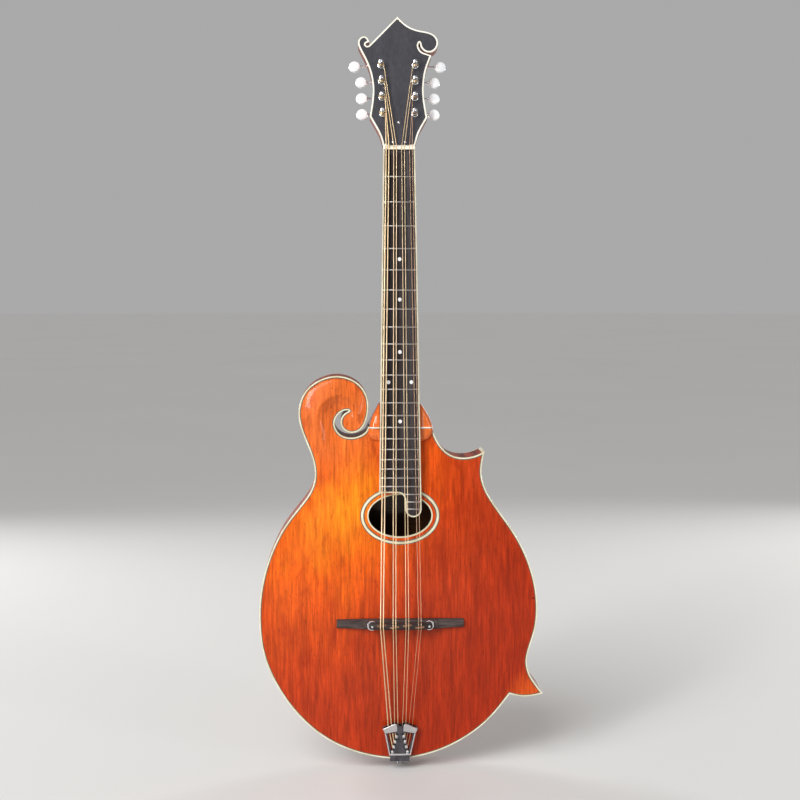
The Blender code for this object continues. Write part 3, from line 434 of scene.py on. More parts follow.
def slab(loops, low, high, place=BODY, inner=None, ease=0.0, ease_back=None):
    """A plate: its outline and any holes, between two heights or surfaces, with eased edges."""
    low, high = level(low), level(high)
    ease_back = ease if ease_back is None else ease_back
    loops = [wound(np.asarray(loop, float), i == 0) for i, loop in enumerate(loops)]
    points, faces, normals, total = [], [], [], 0
    for side, surface, soft in ((1, high, ease), (-1, low, ease_back)):
        rims = [inset(loop, soft) if soft else loop for loop in loops]
        flat = np.vstack(rims + ([inner] if inner is not None else []))
        edges, first = [], 0
        for rim in rims:
            count = len(rim)
            edges += [(first + i, first + (i + 1) % count) for i in range(count)]
            first += count
        result = delaunay_2d_cdt([Vector(p) for p in flat.tolist()], edges, [], 0, 1e-6)
        corners, triangles = np.array([tuple(v) for v in result[0]]), np.array(result[2])
        middles = corners[triangles].mean(1)
        keep = inside(middles, rims[0])
        for rim in rims[1:]:
            keep &= ~inside(middles, rim)
        triangles = triangles[keep]
        a, b, c = (corners[triangles[:, k]] for k in range(3))
        turn = (b[:, 0] - a[:, 0]) * (c[:, 1] - a[:, 1]) - (b[:, 1] - a[:, 1]) * (c[:, 0] - a[:, 0])
        wrong = turn * side < 0
        triangles[wrong] = triangles[wrong][:, ::-1]
        x, s = corners.T
        points.append(np.column_stack([x, s, surface(x, s)]))
        faces += (triangles + total).tolist()
        normals.append(slopes(surface, x, s, side)[triangles.reshape(-1)])
        total += len(corners)
    turns = np.radians([0, 30, 60, 90])
    for loop in loops:
        count = len(loop)
        along = np.roll(loop, -1, axis=0) - loop
        along /= np.maximum(np.hypot(*along.T), 1e-9)[:, None]
        out = np.column_stack([along[:, 1], -along[:, 0]])
        before = np.roll(out, 1, axis=0)
        shared = out + before
        shared /= np.maximum(np.hypot(*shared.T), 1e-9)[:, None]
        soft_corner = ((out * before).sum(1) > 0.8)[:, None]
        at_start = np.where(soft_corner, shared, out)
        at_end = np.roll(np.where(soft_corner, shared, before), -1, axis=0)
        rings = []
        for surface, soft, side in ((high, ease, 1), (low, ease_back, -1)):
            steps = turns if soft else turns[-1:]
            made = []
            for turn in steps:
                flat = inset(loop, soft * (1 - math.sin(turn))) if soft else loop
                height = surface(*flat.T) - side * soft * (1 - math.cos(turn))
                made.append((flat, height, math.sin(turn), side * math.cos(turn)))
            rings += made if side > 0 else made[::-1]
        for flat, height, _, _ in rings:
            points.append(np.column_stack([flat, height]))
        for k in range(len(rings) - 1):
            upper, lower = total + k * count, total + (k + 1) * count
            for i in range(count):
                j = (i + 1) % count
                faces.append([upper + i, lower + i, lower + j, upper + j])
            (_, _, out_a, up_a), (_, _, out_b, up_b) = rings[k], rings[k + 1]
            quads = [
                np.column_stack([at_start * out_a, np.full(count, up_a)]),
                np.column_stack([at_start * out_b, np.full(count, up_b)]),
                np.column_stack([at_end * out_b, np.full(count, up_b)]),
                np.column_stack([at_end * out_a, np.full(count, up_a)]),
            ]
            normals.append(np.stack(quads, axis=1).reshape(-1, 3))
        total += count * len(rings)
    points, faces, normals = welded(np.vstack(points), faces, np.vstack(normals))
    return placed(points, place), faces, normals @ np.array(place.to_3x3()).T


def loft(sections, place=BODY):
    """A closed part through sections that all have the same number of points."""
    count = len(sections[0])
    faces = [list(range(count))[::-1], list(range((len(sections) - 1) * count, len(sections) * count))]
    for k in range(len(sections) - 1):
        for i in range(count):
            j = (i + 1) % count
            faces.append([k * count + i, k * count + j, (k + 1) * count + j, (k + 1) * count + i])
    points = placed(np.vstack([np.asarray(section, float) for section in sections]), place)
    corners = points[sum(([f[0], f[i], f[i + 1]] for f in faces for i in range(1, len(f) - 1)), [])]
    volume = np.linalg.det(corners.reshape(-1, 3, 3)).sum()
    return points, faces if volume > 0 else [face[::-1] for face in faces], None


def lathe(profile, sides, place, squeeze=(1, 1)):
    """A turned part about the local s axis. The profile is (radius, s)."""
    turn = np.radians(np.arange(sides) * 360 / sides)
    sections = []
    for radius, s in profile:
        across, out = radius * squeeze[0] * np.cos(turn), radius * squeeze[1] * np.sin(turn)
        sections.append(np.column_stack([across, np.full(sides, s), out]))
    return loft(sections, place)


def tube(line, radius, sides=10):
    """A round rod along points of the row frame."""
    line = np.asarray(line, float)
    ahead = np.gradient(line, axis=0)
    ahead /= np.linalg.norm(ahead, axis=1)[:, None]
    across = np.cross(ahead[0], (0.31, 0.83, 0.47))
    turn = np.radians(np.arange(sides) * 360 / sides)
    sections = []
    for point, direction in zip(line, ahead):
        across -= direction * (across @ direction)
        across /= np.linalg.norm(across)
        other = np.cross(direction, across)
        sections.append(point + radius * (np.outer(np.cos(turn), across) + np.outer(np.sin(turn), other)))
    return loft(sections, Matrix())


def piece(name, parts, finish, nodes=(), body="instrument", slot=None, angle=38):
    """One object of the instrument from its closed parts, riding on a body."""
    points, faces, normals, first = [], [], [], 0
    for part_points, part_faces, part_normals in parts:
        points.append(part_points)
        faces += [[first + i for i in face] for face in part_faces]
        normals.append(part_normals)
        first += len(part_points)
    mesh = bpy.data.meshes.new(name)
    mesh.from_pydata((np.vstack(points) * MM).tolist(), [], faces)
    mesh.shade_smooth()
    if any(n is None for n in normals):
        mesh.set_sharp_from_angle(angle=math.radians(angle))
    else:
        mesh.normals_split_custom_set(np.vstack(normals).tolist())
    mesh.materials.append(finish)
    made = bpy.data.objects.new(name, mesh)
    bpy.context.scene.collection.objects.link(made)
    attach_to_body(made, body)
    if nodes:
        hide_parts(*nodes)
    return made


def out_of(place, x, s, n):
    """A frame whose s axis points out of the front of another frame."""
    return place @ Matrix.Translation((x, s, n)) @ Matrix.Rotation(math.pi / 2, 4, "X")


# ---------------------------------------------------------------- materials


def rgb(red, green, blue):
    """A colour from its everyday 0 to 255 values, for a shader."""
    levels = [v / 255 for v in (red, green, blue)]
    return (*[v / 12.92 if v <= 0.04045 else ((v + 0.055) / 1.055) ** 2.4 for v in levels], 1.0)


def attach(tree, target, value):
    if isinstance(value, bpy.types.NodeSocket):
        tree.links.new(value, target)
    else:
        target.default_value = value


def add(tree, kind, inputs, **settings):
    """A shader node with its settings, and its inputs by name or number."""
    made = tree.nodes.new("ShaderNode" + kind)
    for key, value in settings.items():
        setattr(made, key, value)
    for key, value in inputs.items():
        attach(tree, made.inputs[key], value)
    return made


def calc(tree, operation, first, second=0.0):
    return add(tree, "Math", {0: first, 1: second}, operation=operation).outputs[0]


def times(tree, first, second):
    return calc(tree, "MULTIPLY", first, second)


def plus(tree, first, second):
    return calc(tree, "ADD", first, second)


def minus(tree, first, second):
    return calc(tree, "SUBTRACT", first, second)


def noise(tree, vector, detail=3.0, rough=0.5, bend=0.0):
    """Cloudy values from 0 to 1. The vector sets the scale in each direction."""
    inputs = {"Vector": vector, "Scale": 1.0, "Detail": detail, "Roughness": rough, "Distortion": bend}
    return add(tree, "TexNoise", inputs).outputs["Fac"]


def clouds(tree, place, factors, *look):
    """Noise over the instrument, with so many clouds to the metre in x, y and z."""
    scaled = add(tree, "VectorMath", {0: place, 1: factors}, operation="MULTIPLY").outputs[0]
    return noise(tree, scaled, *look)


def spread(tree, value, low, high, to_low=0.0, to_high=1.0):
    """The value's range moved to another, clamped."""
    inputs = {"Value": value, "From Min": low, "From Max": high, "To Min": to_low, "To Max": to_high}
    return add(tree, "MapRange", inputs).outputs["Result"]


def ramp(tree, value, stops):
    """Colours along a value. The stops are (place, colour)."""
    made = add(tree, "ValToRGB", {0: value})
    bands = made.color_ramp.elements
    while len(bands) < len(stops):
        bands.new(0.5)
    for band, (place, colour) in zip(bands, stops):
        band.position = place
        band.color = colour
    return made.outputs[0]


def mixed(tree, share, first, second, mode="MIX"):
    made = add(tree, "Mix", {0: share, 6: first, 7: second}, data_type="RGBA", blend_type=mode)
    return made.outputs[2]


def tinted(tree, colour, value):
    """The colour made lighter or darker by a value."""
    made = add(tree, "VectorMath", {0: colour, 3: value}, operation="SCALE")
    return made.outputs[0]


def new_material(name, roughness, metallic=0.0, coat=0.0, coat_roughness=0.05):
    """A material, its node tree, and the place on the instrument as a vector."""
    made = bpy.data.materials.new(name)
    made.use_nodes = True
    tree = made.node_tree
    for key, value in {
        "Metallic": metallic, "Roughness": roughness, "Coat Weight": coat, "Coat Roughness": coat_roughness,
        "Specular IOR Level": 0.5 if metallic else 0.12,
    }.items():
        tree.nodes["Principled BSDF"].inputs[key].default_value = value
    return made, tree, tree.nodes.new("ShaderNodeTexCoord").outputs["Object"]


def finished(material, colour, height, depth, roughness):
    """The material with its colour, the height that bumps it, and its roughness."""
    tree = material.node_tree
    shader = tree.nodes["Principled BSDF"]
    tree.links.new(colour, shader.inputs["Base Color"])
    bump = add(tree, "Bump", {"Height": height, "Distance": depth, "Strength": 1.0})
    tree.links.new(bump.outputs[0], shader.inputs["Normal"])
    tree.links.new(roughness, shader.inputs["Roughness"])
    return material


def apart(tree, place):
    """The x, y and z of a place."""
    made = add(tree, "SeparateXYZ", {0: place})
    return made.outputs[0], made.outputs[1], made.outputs[2]


def joined(tree, x, y, z):
    return add(tree, "CombineXYZ", {0: x, 1: y, 2: z}).outputs[0]


def facing(tree, direction):
    """How far a surface faces a direction, from -1 to 1."""
    normal = tree.nodes["Texture Coordinate"].outputs["Normal"]
    return add(tree, "VectorMath", {0: normal, 1: direction}, operation="DOT_PRODUCT").outputs["Value"]


def oval_distance(tree, place, centre, stretch_x, stretch_z):
    """How far a place is from a centre on the front, in metres, with each direction weighted."""
    x, _, z = apart(tree, place)
    across = times(tree, minus(tree, x, centre[0]), stretch_x)
    along = times(tree, minus(tree, z, centre[1]), stretch_z)
    square = plus(tree, times(tree, across, across), times(tree, along, along))
    return calc(tree, "SQRT", square)


def spruce():
    """Straight-grained top under an amber sunburst that is brightest on the bass side of the hole."""
    made, tree, place = new_material("spruce_sunburst", 0.36, coat=0.25, coat_roughness=0.08)
    x, _, z = apart(tree, place)
    across = minus(tree, x, -0.080)
    rise = minus(tree, z, 0.345)
    u = minus(tree, times(tree, across, 0.867), times(tree, rise, 0.5))
    v = plus(tree, times(tree, across, 0.275), times(tree, rise, 0.477))
    square = plus(tree, times(tree, u, u), times(tree, v, v))
    cloud = clouds(tree, place, (16, 16, 10), 4.0)
    far = plus(tree, calc(tree, "SQRT", square), spread(tree, cloud, 0.3, 0.7, -0.02, 0.02))
    burst = ramp(tree, spread(tree, far, 0.0, 0.3), [
        (0.0, rgb(254, 146, 20)), (0.11, rgb(246, 124, 18)), (0.21, rgb(231, 97, 12)),
        (0.30, rgb(212, 78, 13)), (0.43, rgb(192, 62, 14)), (0.58, rgb(180, 55, 16)),
        (0.75, rgb(174, 49, 11)), (1.0, rgb(170, 45, 9)),
    ])
    scroll = oval_distance(tree, place, (-0.090, 0.478), 1.0, 1.0)
    burst = mixed(tree, spread(tree, scroll, 0.045, 0.10, 0.9, 0.0), burst, rgb(232, 112, 44))
    point = oval_distance(tree, place, (0.185, 0.097), 1.0, 1.0)
    burst = mixed(tree, spread(tree, point, 0.01, 0.045, 0.8, 0.0), burst, rgb(224, 92, 26))
    streak = clouds(tree, place, (330, 40, 26), 4.0, 0.65)
    burst = tinted(tree, burst, spread(tree, streak, 0.3, 0.7, 0.62, 1.24))
    broad = clouds(tree, place, (75, 30, 9), 3.0, 0.6)
    burst = tinted(tree, burst, spread(tree, broad, 0.3, 0.7, 0.8, 1.12))
    grain = clouds(tree, place, (1300, 60, 20), 2.0, 0.55)
    burst = tinted(tree, burst, spread(tree, grain, 0.3, 0.7, 0.78, 1.12))
    blotch = clouds(tree, place, (34, 34, 22), 5.0, 0.62, 0.6)
    colour = mixed(tree, spread(tree, blotch, 0.5, 0.72, 0.0, 0.55), burst, rgb(146, 36, 6))
    speck = clouds(tree, place, (520, 520, 130), 2.0)
    colour = mixed(tree, spread(tree, speck, 0.62, 0.74, 0.0, 0.45), colour, rgb(96, 24, 8))
    return finished(made, colour, grain, 0.00004, spread(tree, streak, 0.2, 0.8, 0.32, 0.42))


def flame(tree, place, chevron=0.0):
    """Bands of curly figure across the grain, as bright and dark values from 0 to 1."""
    x, y, z = apart(tree, place)
    lift = times(tree, calc(tree, "ABSOLUTE", x), chevron)
    rise = plus(tree, z, lift)
    wander = clouds(tree, place, (11, 11, 11), 2.0)
    rise = plus(tree, rise, times(tree, wander, 0.022))
    halves = [
        times(tree, noise(tree, joined(tree, times(tree, x, across), y, times(tree, rise, along)), 2.0), 0.5)
        for across, along in ((13.0, 210.0), (24.0, 480.0))
    ]
    both = plus(tree, *halves)
    return spread(tree, both, 0.39, 0.6)


def back_maple():
    """Two bookmatched halves of flamed maple, bright above and at the edges and dark below, with painted
    shade on the inner face.
    """
    made, tree, place = new_material("maple_back", 0.3, coat=0.4, coat_roughness=0.06)
    x, _, z = apart(tree, place)
    cloud = clouds(tree, place, (12, 12, 9), 4.0)
    height = plus(tree, z, spread(tree, cloud, 0.3, 0.7, -0.045, 0.045))
    base = ramp(tree, spread(tree, height, 0.0, 0.5), [
        (0.0, rgb(128, 40, 18)), (0.30, rgb(168, 56, 20)), (0.55, rgb(196, 76, 26)),
        (0.80, rgb(240, 124, 46)), (1.0, rgb(232, 106, 36)),
    ])
    rim = oval_distance(tree, place, (0.0, 0.205), 1.0, 0.78)
    base = mixed(tree, spread(tree, rim, 0.135, 0.195, 0.0, 0.75), base, rgb(232, 92, 30))
    scroll = oval_distance(tree, place, (-0.090, 0.480), 1.0, 1.0)
    base = mixed(tree, spread(tree, scroll, 0.03, 0.085, 0.85, 0.0), base, rgb(158, 62, 24))
    stain = clouds(tree, place, (13, 13, 11), 3.0)
    base = tinted(tree, base, spread(tree, stain, 0.42, 0.66, 1.08, 0.5))
    half = calc(tree, "GREATER_THAN", x, 0.0)
    base = tinted(tree, base, plus(tree, times(tree, half, 0.16), 0.92))
    bands = flame(tree, place, 0.08)
    dark = tinted(tree, base, 0.27)
    colour = mixed(tree, bands, dark, base)
    pores = clouds(tree, place, (900, 900, 90), 2.0)
    colour = tinted(tree, colour, spread(tree, pores, 0.3, 0.7, 0.86, 1.08))
    # Painted shade: the inner face of the back, which faces the front, is darkened to a near-black brown as
    # if in shadow inside the body.
    painted_inside_shade = spread(tree, facing(tree, (0, -1, 0)), 0.2, 0.5)
    colour = mixed(tree, painted_inside_shade, colour, rgb(58, 36, 22))
    return finished(made, colour, pores, 0.00003, spread(tree, bands, 0.0, 1.0, 0.36, 0.26))


def neck_maple(name="maple_neck", edge=None):
    """Orange-red neck and head, darker towards the heel as painted shade, with faint flame, and perhaps
    painted shade on the sides.
    """
    made, tree, place = new_material(name, 0.28, coat=0.7, coat_roughness=0.05)
    _, y, z = apart(tree, place)
    # Painted shade: the ramp's dark stop at 0.12 darkens the neck at the height of the heel, and the mix
    # below keeps the front of the neck and the cheeks orange.
    base = ramp(tree, spread(tree, z, 0.42, 1.0), [
        (0.0, rgb(224, 100, 46)), (0.12, rgb(176, 56, 30)), (0.24, rgb(226, 88, 38)),
        (0.45, rgb(243, 110, 48)), (0.75, rgb(238, 100, 42)), (1.0, rgb(246, 122, 50)),
    ])
    base = mixed(tree, spread(tree, y, -0.034, -0.026, 1.0, 0.0), base, rgb(226, 108, 38))
    bands = flame(tree, place)
    colour = tinted(tree, base, spread(tree, bands, 0.0, 1.0, 0.8, 1.05))
    grain = clouds(tree, place, (500, 500, 18), 3.0, 0.6)
    colour = tinted(tree, colour, spread(tree, grain, 0.25, 0.75, 0.8, 1.14))
    # Painted shade: faces that turn across the given direction, the sides of the headstock, are darkened to a
    # deep red-brown as if in shadow.
    if edge:
        side = spread(tree, calc(tree, "ABSOLUTE", facing(tree, edge)), 0.55, 0.8, 0.85, 0.0)
        colour = mixed(tree, side, colour, rgb(110, 30, 16))
    return finished(made, colour, grain, 0.00003, spread(tree, grain, 0.3, 0.7, 0.24, 0.33))


def rib_maple():
    """Dark red-brown sides with their flame running from front to back."""
    made, tree, place = new_material("maple_rib", 0.4, coat=0.2, coat_roughness=0.1)
    bands = clouds(tree, place, (120, 8, 120), 3.0, 0.6, 0.4)
    grain = clouds(tree, place, (60, 900, 60), 2.0)
    colour = ramp(tree, bands, [(0.3, rgb(82, 24, 14)), (0.5, rgb(140, 44, 22)), (0.7, rgb(188, 72, 34))])
    colour = tinted(tree, colour, spread(tree, grain, 0.3, 0.7, 0.85, 1.1))
    return finished(made, colour, grain, 0.00003, spread(tree, bands, 0.2, 0.8, 0.34, 0.27))


def bare_wood():
    """Unfinished wood inside the body."""
    made, tree, place = new_material("bare_wood", 0.7)
    grain = clouds(tree, place, (90, 90, 600), 3.0, 0.6)
    colour = ramp(tree, grain, [(0.3, rgb(140, 96, 54)), (0.7, rgb(190, 146, 94))])
    return finished(made, colour, grain, 0.00005, spread(tree, grain, 0.3, 0.7, 0.62, 0.78))


def celluloid(name, light, aged, shine=0.5):
    """Binding, pearl or bone: a pale body that is cloudy and a little yellowed in places."""
    made, tree, place = new_material(name, 0.3, coat=shine, coat_roughness=0.08)
    cloud = clouds(tree, place, (60, 60, 60), 4.0, 0.6)
    fine = clouds(tree, place, (900, 900, 900), 2.0)
    colour = ramp(tree, cloud, [(0.35, aged), (0.62, light)])
    colour = tinted(tree, colour, spread(tree, fine, 0.3, 0.7, 0.94, 1.02))
    return finished(made, colour, fine, 0.00001, spread(tree, cloud, 0.3, 0.7, 0.36, 0.24))


def dark_wood(name, light, dark, roughness, stretch_axis=(400, 400, 14), coat=0.0):
    """Ebony or a dyed veneer, with fine pores along its grain."""
    made, tree, place = new_material(name, roughness, coat=coat, coat_roughness=0.25)
    grain = clouds(tree, place, stretch_axis, 4.0, 0.65)
    broad = clouds(tree, place, tuple(v * 0.15 for v in stretch_axis), 3.0)
    colour = ramp(tree, grain, [(0.32, dark), (0.68, light)])
    colour = tinted(tree, colour, spread(tree, broad, 0.3, 0.7, 0.85, 1.12))
    rough = spread(tree, grain, 0.3, 0.7, roughness + 0.08, roughness - 0.06)
    return finished(made, colour, grain, 0.00006, rough)


def metal(name, light, dark, roughness, scale=140.0, depth=0.00001):
    """Plated or bare metal with light handling marks."""
    made, tree, place = new_material(name, roughness, metallic=1.0)
    cloud = clouds(tree, place, (scale,) * 3, 4.0, 0.6)
    fine = clouds(tree, place, (scale * 9,) * 3, 2.0)
    colour = ramp(tree, cloud, [(0.3, dark), (0.65, light)])
    rough = spread(tree, cloud, 0.3, 0.7, roughness + 0.08, roughness - 0.04)
    return finished(made, colour, fine, depth, rough)


def engraved():
    """Pale plate covered in fine scroll engraving."""
    made, tree, place = new_material("engraved_plate", 0.3, metallic=1.0)
    swirl = clouds(tree, place, (330, 330, 330), 3.0, 0.5, 2.2)
    lines = calc(tree, "ABSOLUTE", minus(tree, swirl, 0.5))
    cut = spread(tree, lines, 0.0, 0.035)
    dots = add(tree, "TexVoronoi", {"Vector": place, "Scale": 520.0}).outputs["Distance"]
    stipple = spread(tree, dots, 0.1, 0.3)
    depth = times(tree, cut, spread(tree, stipple, 0.0, 1.0, 0.8, 1.0))
    colour = ramp(tree, depth, [(0.1, rgb(120, 116, 112)), (0.75, rgb(226, 226, 228))])
    return finished(made, colour, depth, 0.00009, spread(tree, depth, 0.0, 1.0, 0.5, 0.22))


def wound_string(name, light, dark):
    """Bronze wrap, as fine rings along a string."""
    made, tree, place = new_material(name, 0.34, metallic=1.0)
    _, y, z = apart(tree, place)
    rings = calc(tree, "SINE", times(tree, z, 2 * math.pi / 0.0006))
    cloud = clouds(tree, place, (40, 40, 40), 3.0)
    colour = ramp(tree, spread(tree, rings, -1.0, 1.0), [(0.1, dark), (0.6, light)])
    colour = tinted(tree, colour, spread(tree, cloud, 0.3, 0.7, 0.88, 1.06))
    return finished(made, colour, rings, 0.00004, spread(tree, cloud, 0.3, 0.7, 0.38, 0.28))


SPRUCE = spruce()
BACK_MAPLE = back_maple()
NECK_MAPLE = neck_maple()
# The headstock gets painted shade on its sides, across the head's front direction.
HEAD_MAPLE = neck_maple("maple_head", tuple(HEAD.col[2].to_3d()))
RIB_MAPLE = rib_maple()
BARE = bare_wood()
CREAM = celluloid("cream_binding", rgb(232, 226, 200), rgb(206, 198, 164))
BOARD_CREAM = celluloid("board_binding", rgb(222, 214, 190), rgb(200, 190, 160), 0.3)
WHITE = celluloid("white_binding", rgb(246, 243, 232), rgb(232, 226, 208))
LINE = dark_wood("purfling", rgb(112, 112, 98), rgb(74, 74, 66), 0.4)
PEARL = celluloid("pearl", rgb(246, 246, 246), rgb(222, 224, 226), 0.8)
BONE = celluloid("bone", rgb(246, 240, 222), rgb(230, 222, 198), 0.4)
OVERLAY_WOOD = dark_wood("overlay_veneer", rgb(70, 69, 74), rgb(60, 59, 64), 0.5)
EBONY = dark_wood("ebony", rgb(64, 57, 58), rgb(40, 35, 36), 0.42)
BRIDGE_WOOD = dark_wood("bridge_ebony", rgb(92, 80, 76), rgb(50, 43, 42), 0.45, (14, 400, 400))
SADDLE_WOOD = dark_wood("saddle_ebony", rgb(70, 60, 57), rgb(34, 29, 29), 0.42, (14, 400, 400))
SADDLE_TOP = dark_wood("saddle_crown", rgb(150, 112, 84), rgb(104, 76, 58), 0.5, (20, 300, 300))
CHROME = metal("chrome", (0.86, 0.86, 0.88, 1), (0.70, 0.70, 0.73, 1), 0.14)
DULL = metal("dark_nickel", (0.16, 0.16, 0.18, 1), (0.07, 0.07, 0.08, 1), 0.3)
SPECKLED = metal("cast_nickel", (0.80, 0.80, 0.80, 1), (0.45, 0.45, 0.46, 1), 0.42, 1500.0, 0.00008)
FRET_METAL = metal("fret_wire", (0.62, 0.58, 0.55, 1), (0.46, 0.43, 0.41, 1), 0.3)
ENGRAVED = engraved()
BRONZE = wound_string("bronze_wrap", (1.0, 0.80, 0.52, 1), (0.80, 0.56, 0.32, 1))
TREBLE_WIRE = wound_string("treble_wire", (0.86, 0.58, 0.38, 1), (0.62, 0.38, 0.24, 1))


# ---------------------------------------------------------------- body


def arching(outline, height, step=4.0):
    """Height of a carved plate: a stretched skin over the outline, with a hollow near the edge."""
    low = outline.min(0) - 2 * step
    counts = np.ceil((outline.max(0) + 2 * step - low) / step).astype(int) + 1
    xs, ss = low[0] + step * np.arange(counts[0]), low[1] + step * np.arange(counts[1])
    grid = np.stack(np.meshgrid(xs, ss, indexing="ij"), axis=-1)
    within = inside(grid.reshape(-1, 2), outline).reshape(counts)
    skin = np.zeros(counts)
    for _ in range(2600):
        pull = np.zeros(counts)
        pull[1:-1, 1:-1] = (skin[:-2, 1:-1] + skin[2:, 1:-1] + skin[1:-1, :-2] + skin[1:-1, 2:]) / 4
        skin = np.where(within, pull + 1.0, 0.0)
    skin /= skin.max()

    def rise(x, s):
        u, v = (np.asarray(x) - low[0]) / step, (np.asarray(s) - low[1]) / step
        i = np.clip(np.floor(u).astype(int), 1, counts[0] - 3)
        j = np.clip(np.floor(v).astype(int), 1, counts[1] - 3)
        weights = []
        for part in (u - i, v - j):
            weights.append([
                -0.5 * part**3 + part**2 - 0.5 * part, 1.5 * part**3 - 2.5 * part**2 + 1,
                -1.5 * part**3 + 2 * part**2 + 0.5 * part, 0.5 * part**3 - 0.5 * part**2,
            ])
        value = np.zeros(len(u))
        for a in range(4):
            for b in range(4):
                value += weights[0][a] * weights[1][b] * skin[i + a - 1, j + b - 1]
        value = np.clip(value, 0, 1)
        return height * value**2 * (3 - 2 * value)

    return rise


def carved(arch, field):
    """The outer face of a plate: its arching, and the ridge that runs round the scroll."""
    edge_line = even(np.vstack([field, field[:1]]), 2.0)[:-1]
    ridge_line = even(spline(RIDGE), 2.0)

    def height(x, s):
        points = np.column_stack([x, s])
        edge = distance_to(points, edge_line)
        value = RIM + arch(x, s) * smooth(edge / EDGE_EASE)
        near = (points[:, 0] < -30) & (points[:, 1] > -60)
        if near.any():
            far, side = measured(points[near], ridge_line, False)
            share = edge[near] / np.maximum(edge[near] + far, 1e-6)
            shape = np.where(side > 0, share**0.75, share**2.0)
            fade = smooth((points[near, 1] + 48) / 42) * (1 - smooth((far - 17) / 18))
            value[near] += SCROLL_HEIGHT * fade * shape
        return value

    return height


side_line = path(SIDE_PIECES)
front_loop = wound(side_line, True)
button_arc = arc((0, BUTTON_CENTRE), (BUTTON_HALF, BUTTON_HALF), 0, 180, 24)
shoulder_line = np.vstack([path([SHOULDER_TREBLE])[1:], button_arc, path([SHOULDER_BASS])[:-1]])
back_loop = wound(np.vstack([side_line, shoulder_line]), True)
top_arch = arching(front_loop, ARCH)
back_arch = arching(back_loop, ARCH)


def oval(half_width, half_height):
    return ring(HOLE_CENTRE, (half_width, half_height), 150)


def plate_grid(field, holes=()):
    """Points over a plate, closer together round the scroll."""
    coarse = staggered(field, 5.0, 2.6, holes)
    scroll = (coarse[:, 0] < -36) & (coarse[:, 1] > -52)
    fine = staggered(field, 2.3, 1.3, (), ((-136, -52), (-36, 70)))
    return np.vstack([coarse[~scroll], fine])


def soundboard():
    line_edge = beside(front_loop, BINDING_WIDTH)
    field = beside(front_loop, BINDING_WIDTH + LINE_WIDTH)
    top = carved(top_arch, field)

    def under(x, s):
        return RIB_HALF + PLATE_SLOPE * top_arch(x, s)

    def below(x, s):
        return top(x, s) - 2

    ovals = [oval(HOLE[0] + HOLE_EDGE, HOLE[1] + HOLE_EDGE)] + [oval(*half) for half in ROSETTE]
    plate = slab([field, ovals[-1]], under, top, inner=plate_grid(field, [ovals[-1]]))
    piece("spruce_top", [plate], SPRUCE, ["soundboard"], slot="spruce")
    piece("spruce_inside_rosette", [slab([ovals[1], ovals[0]], under, top)], SPRUCE, slot="spruce")
    for k, finish in ((1, LINE), (2, CREAM), (3, LINE)):
        piece(f"rosette_ring_{k}", [slab([ovals[k + 1], ovals[k]], below, top)], finish)
    edge = slab([ovals[0], oval(*HOLE)], under, top, ease=0.4)
    piece("soundhole_binding", [edge], CREAM, slot="cream")
    piece("top_purfling", [slab([line_edge, field], RIM - 2, RIM)], LINE)
    rim = slab([front_loop, line_edge], RIB_HALF, RIM, ease=0.55, ease_back=0.0)
    piece("top_edge_binding", [rim], CREAM, ["top_binding"], slot="cream")


def back():
    line_edge = beside(back_loop, BINDING_WIDTH)
    field = beside(back_loop, BINDING_WIDTH + LINE_WIDTH)
    outer = carved(back_arch, field)

    def face(x, s):
        return -outer(x, s)

    def inner_face(x, s):
        return -RIB_HALF - PLATE_SLOPE * back_arch(x, s)

    plate = slab([field], face, inner_face, inner=plate_grid(field))
    piece("maple_back", [plate], BACK_MAPLE, ["back_plate"], slot="maple")
    piece("back_purfling", [slab([line_edge, field], -RIM, 2 - RIM)], LINE)
    rim = slab([back_loop, line_edge], -RIM, -RIB_HALF, ease=0.0, ease_back=0.55)
    piece("back_edge_binding", [rim], CREAM, ["back_binding"], slot="cream")


def sides():
    """The bent ribs and the solid scroll, flush with the bindings above and below them."""
    scroll = path([THROAT, SCROLL])
    end = nearest(scroll, SCROLL_BLOCK_END)
    inner = [(-112, -30), (-98, -29), (-84, -33), (-64, -37), (-46, -33), (-38.4, -22), (-38.4, -0.8)]
    waist_line, cutaway_line = path([WAIST]), path([CUTAWAY])
    lower_tip = np.vstack([path([LOWER_POINT])[:-1], stretch(waist_line, 0, LOWER_TIP)])
    length = float(np.hypot(*np.diff(waist_line, axis=0).T).sum())
    upper_tip = np.vstack([
        stretch(waist_line, length - UPPER_TIP, length)[:-1], stretch(cutaway_line, 0, UPPER_TIP),
    ])
    for name, node, outline in (
        ("scroll_sides", "scroll_block", np.vstack([scroll[: end + 1], inner])),
        ("rib_of_bass_side", "rib_bass", strip(stretch(scroll[end:], 0, -0.5), 0, RIB_WIDTH)),
        ("rib_of_waist", "rib_waist", strip(stretch(waist_line, LOWER_TIP, -UPPER_TIP), 0, RIB_WIDTH)),
        ("rib_of_cutaway", "rib_cutaway", strip(stretch(cutaway_line, UPPER_TIP, -0.1), 0, RIB_WIDTH)),
        ("lower_point_sides", "point_block_lower", np.vstack([
            lower_tip, [(166, -332), (158, -345), (152, -356)],
        ])),
        ("upper_point_sides", "point_block_upper", strip(upper_tip, 0, RIB_WIDTH)),
    ):
        piece(name, [slab([outline], -RIB_HALF, RIB_HALF)], RIB_MAPLE, [node], slot="maple")
    caps = []
    for line, middle in ((lower_tip, (192.5, -361.2)), (upper_tip, (112.7, -33.5))):
        k = nearest(line, middle)
        around = line[max(k - 3, 0) : k + 4]
        caps.append(slab([strip(around, -0.05, 1.2)], -RIB_HALF + 0.02, RIB_HALF - 0.02, ease=0.2))
    piece("point_protectors", caps, CREAM)


soundboard()
back()
sides()


# ---------------------------------------------------------------- neck and head


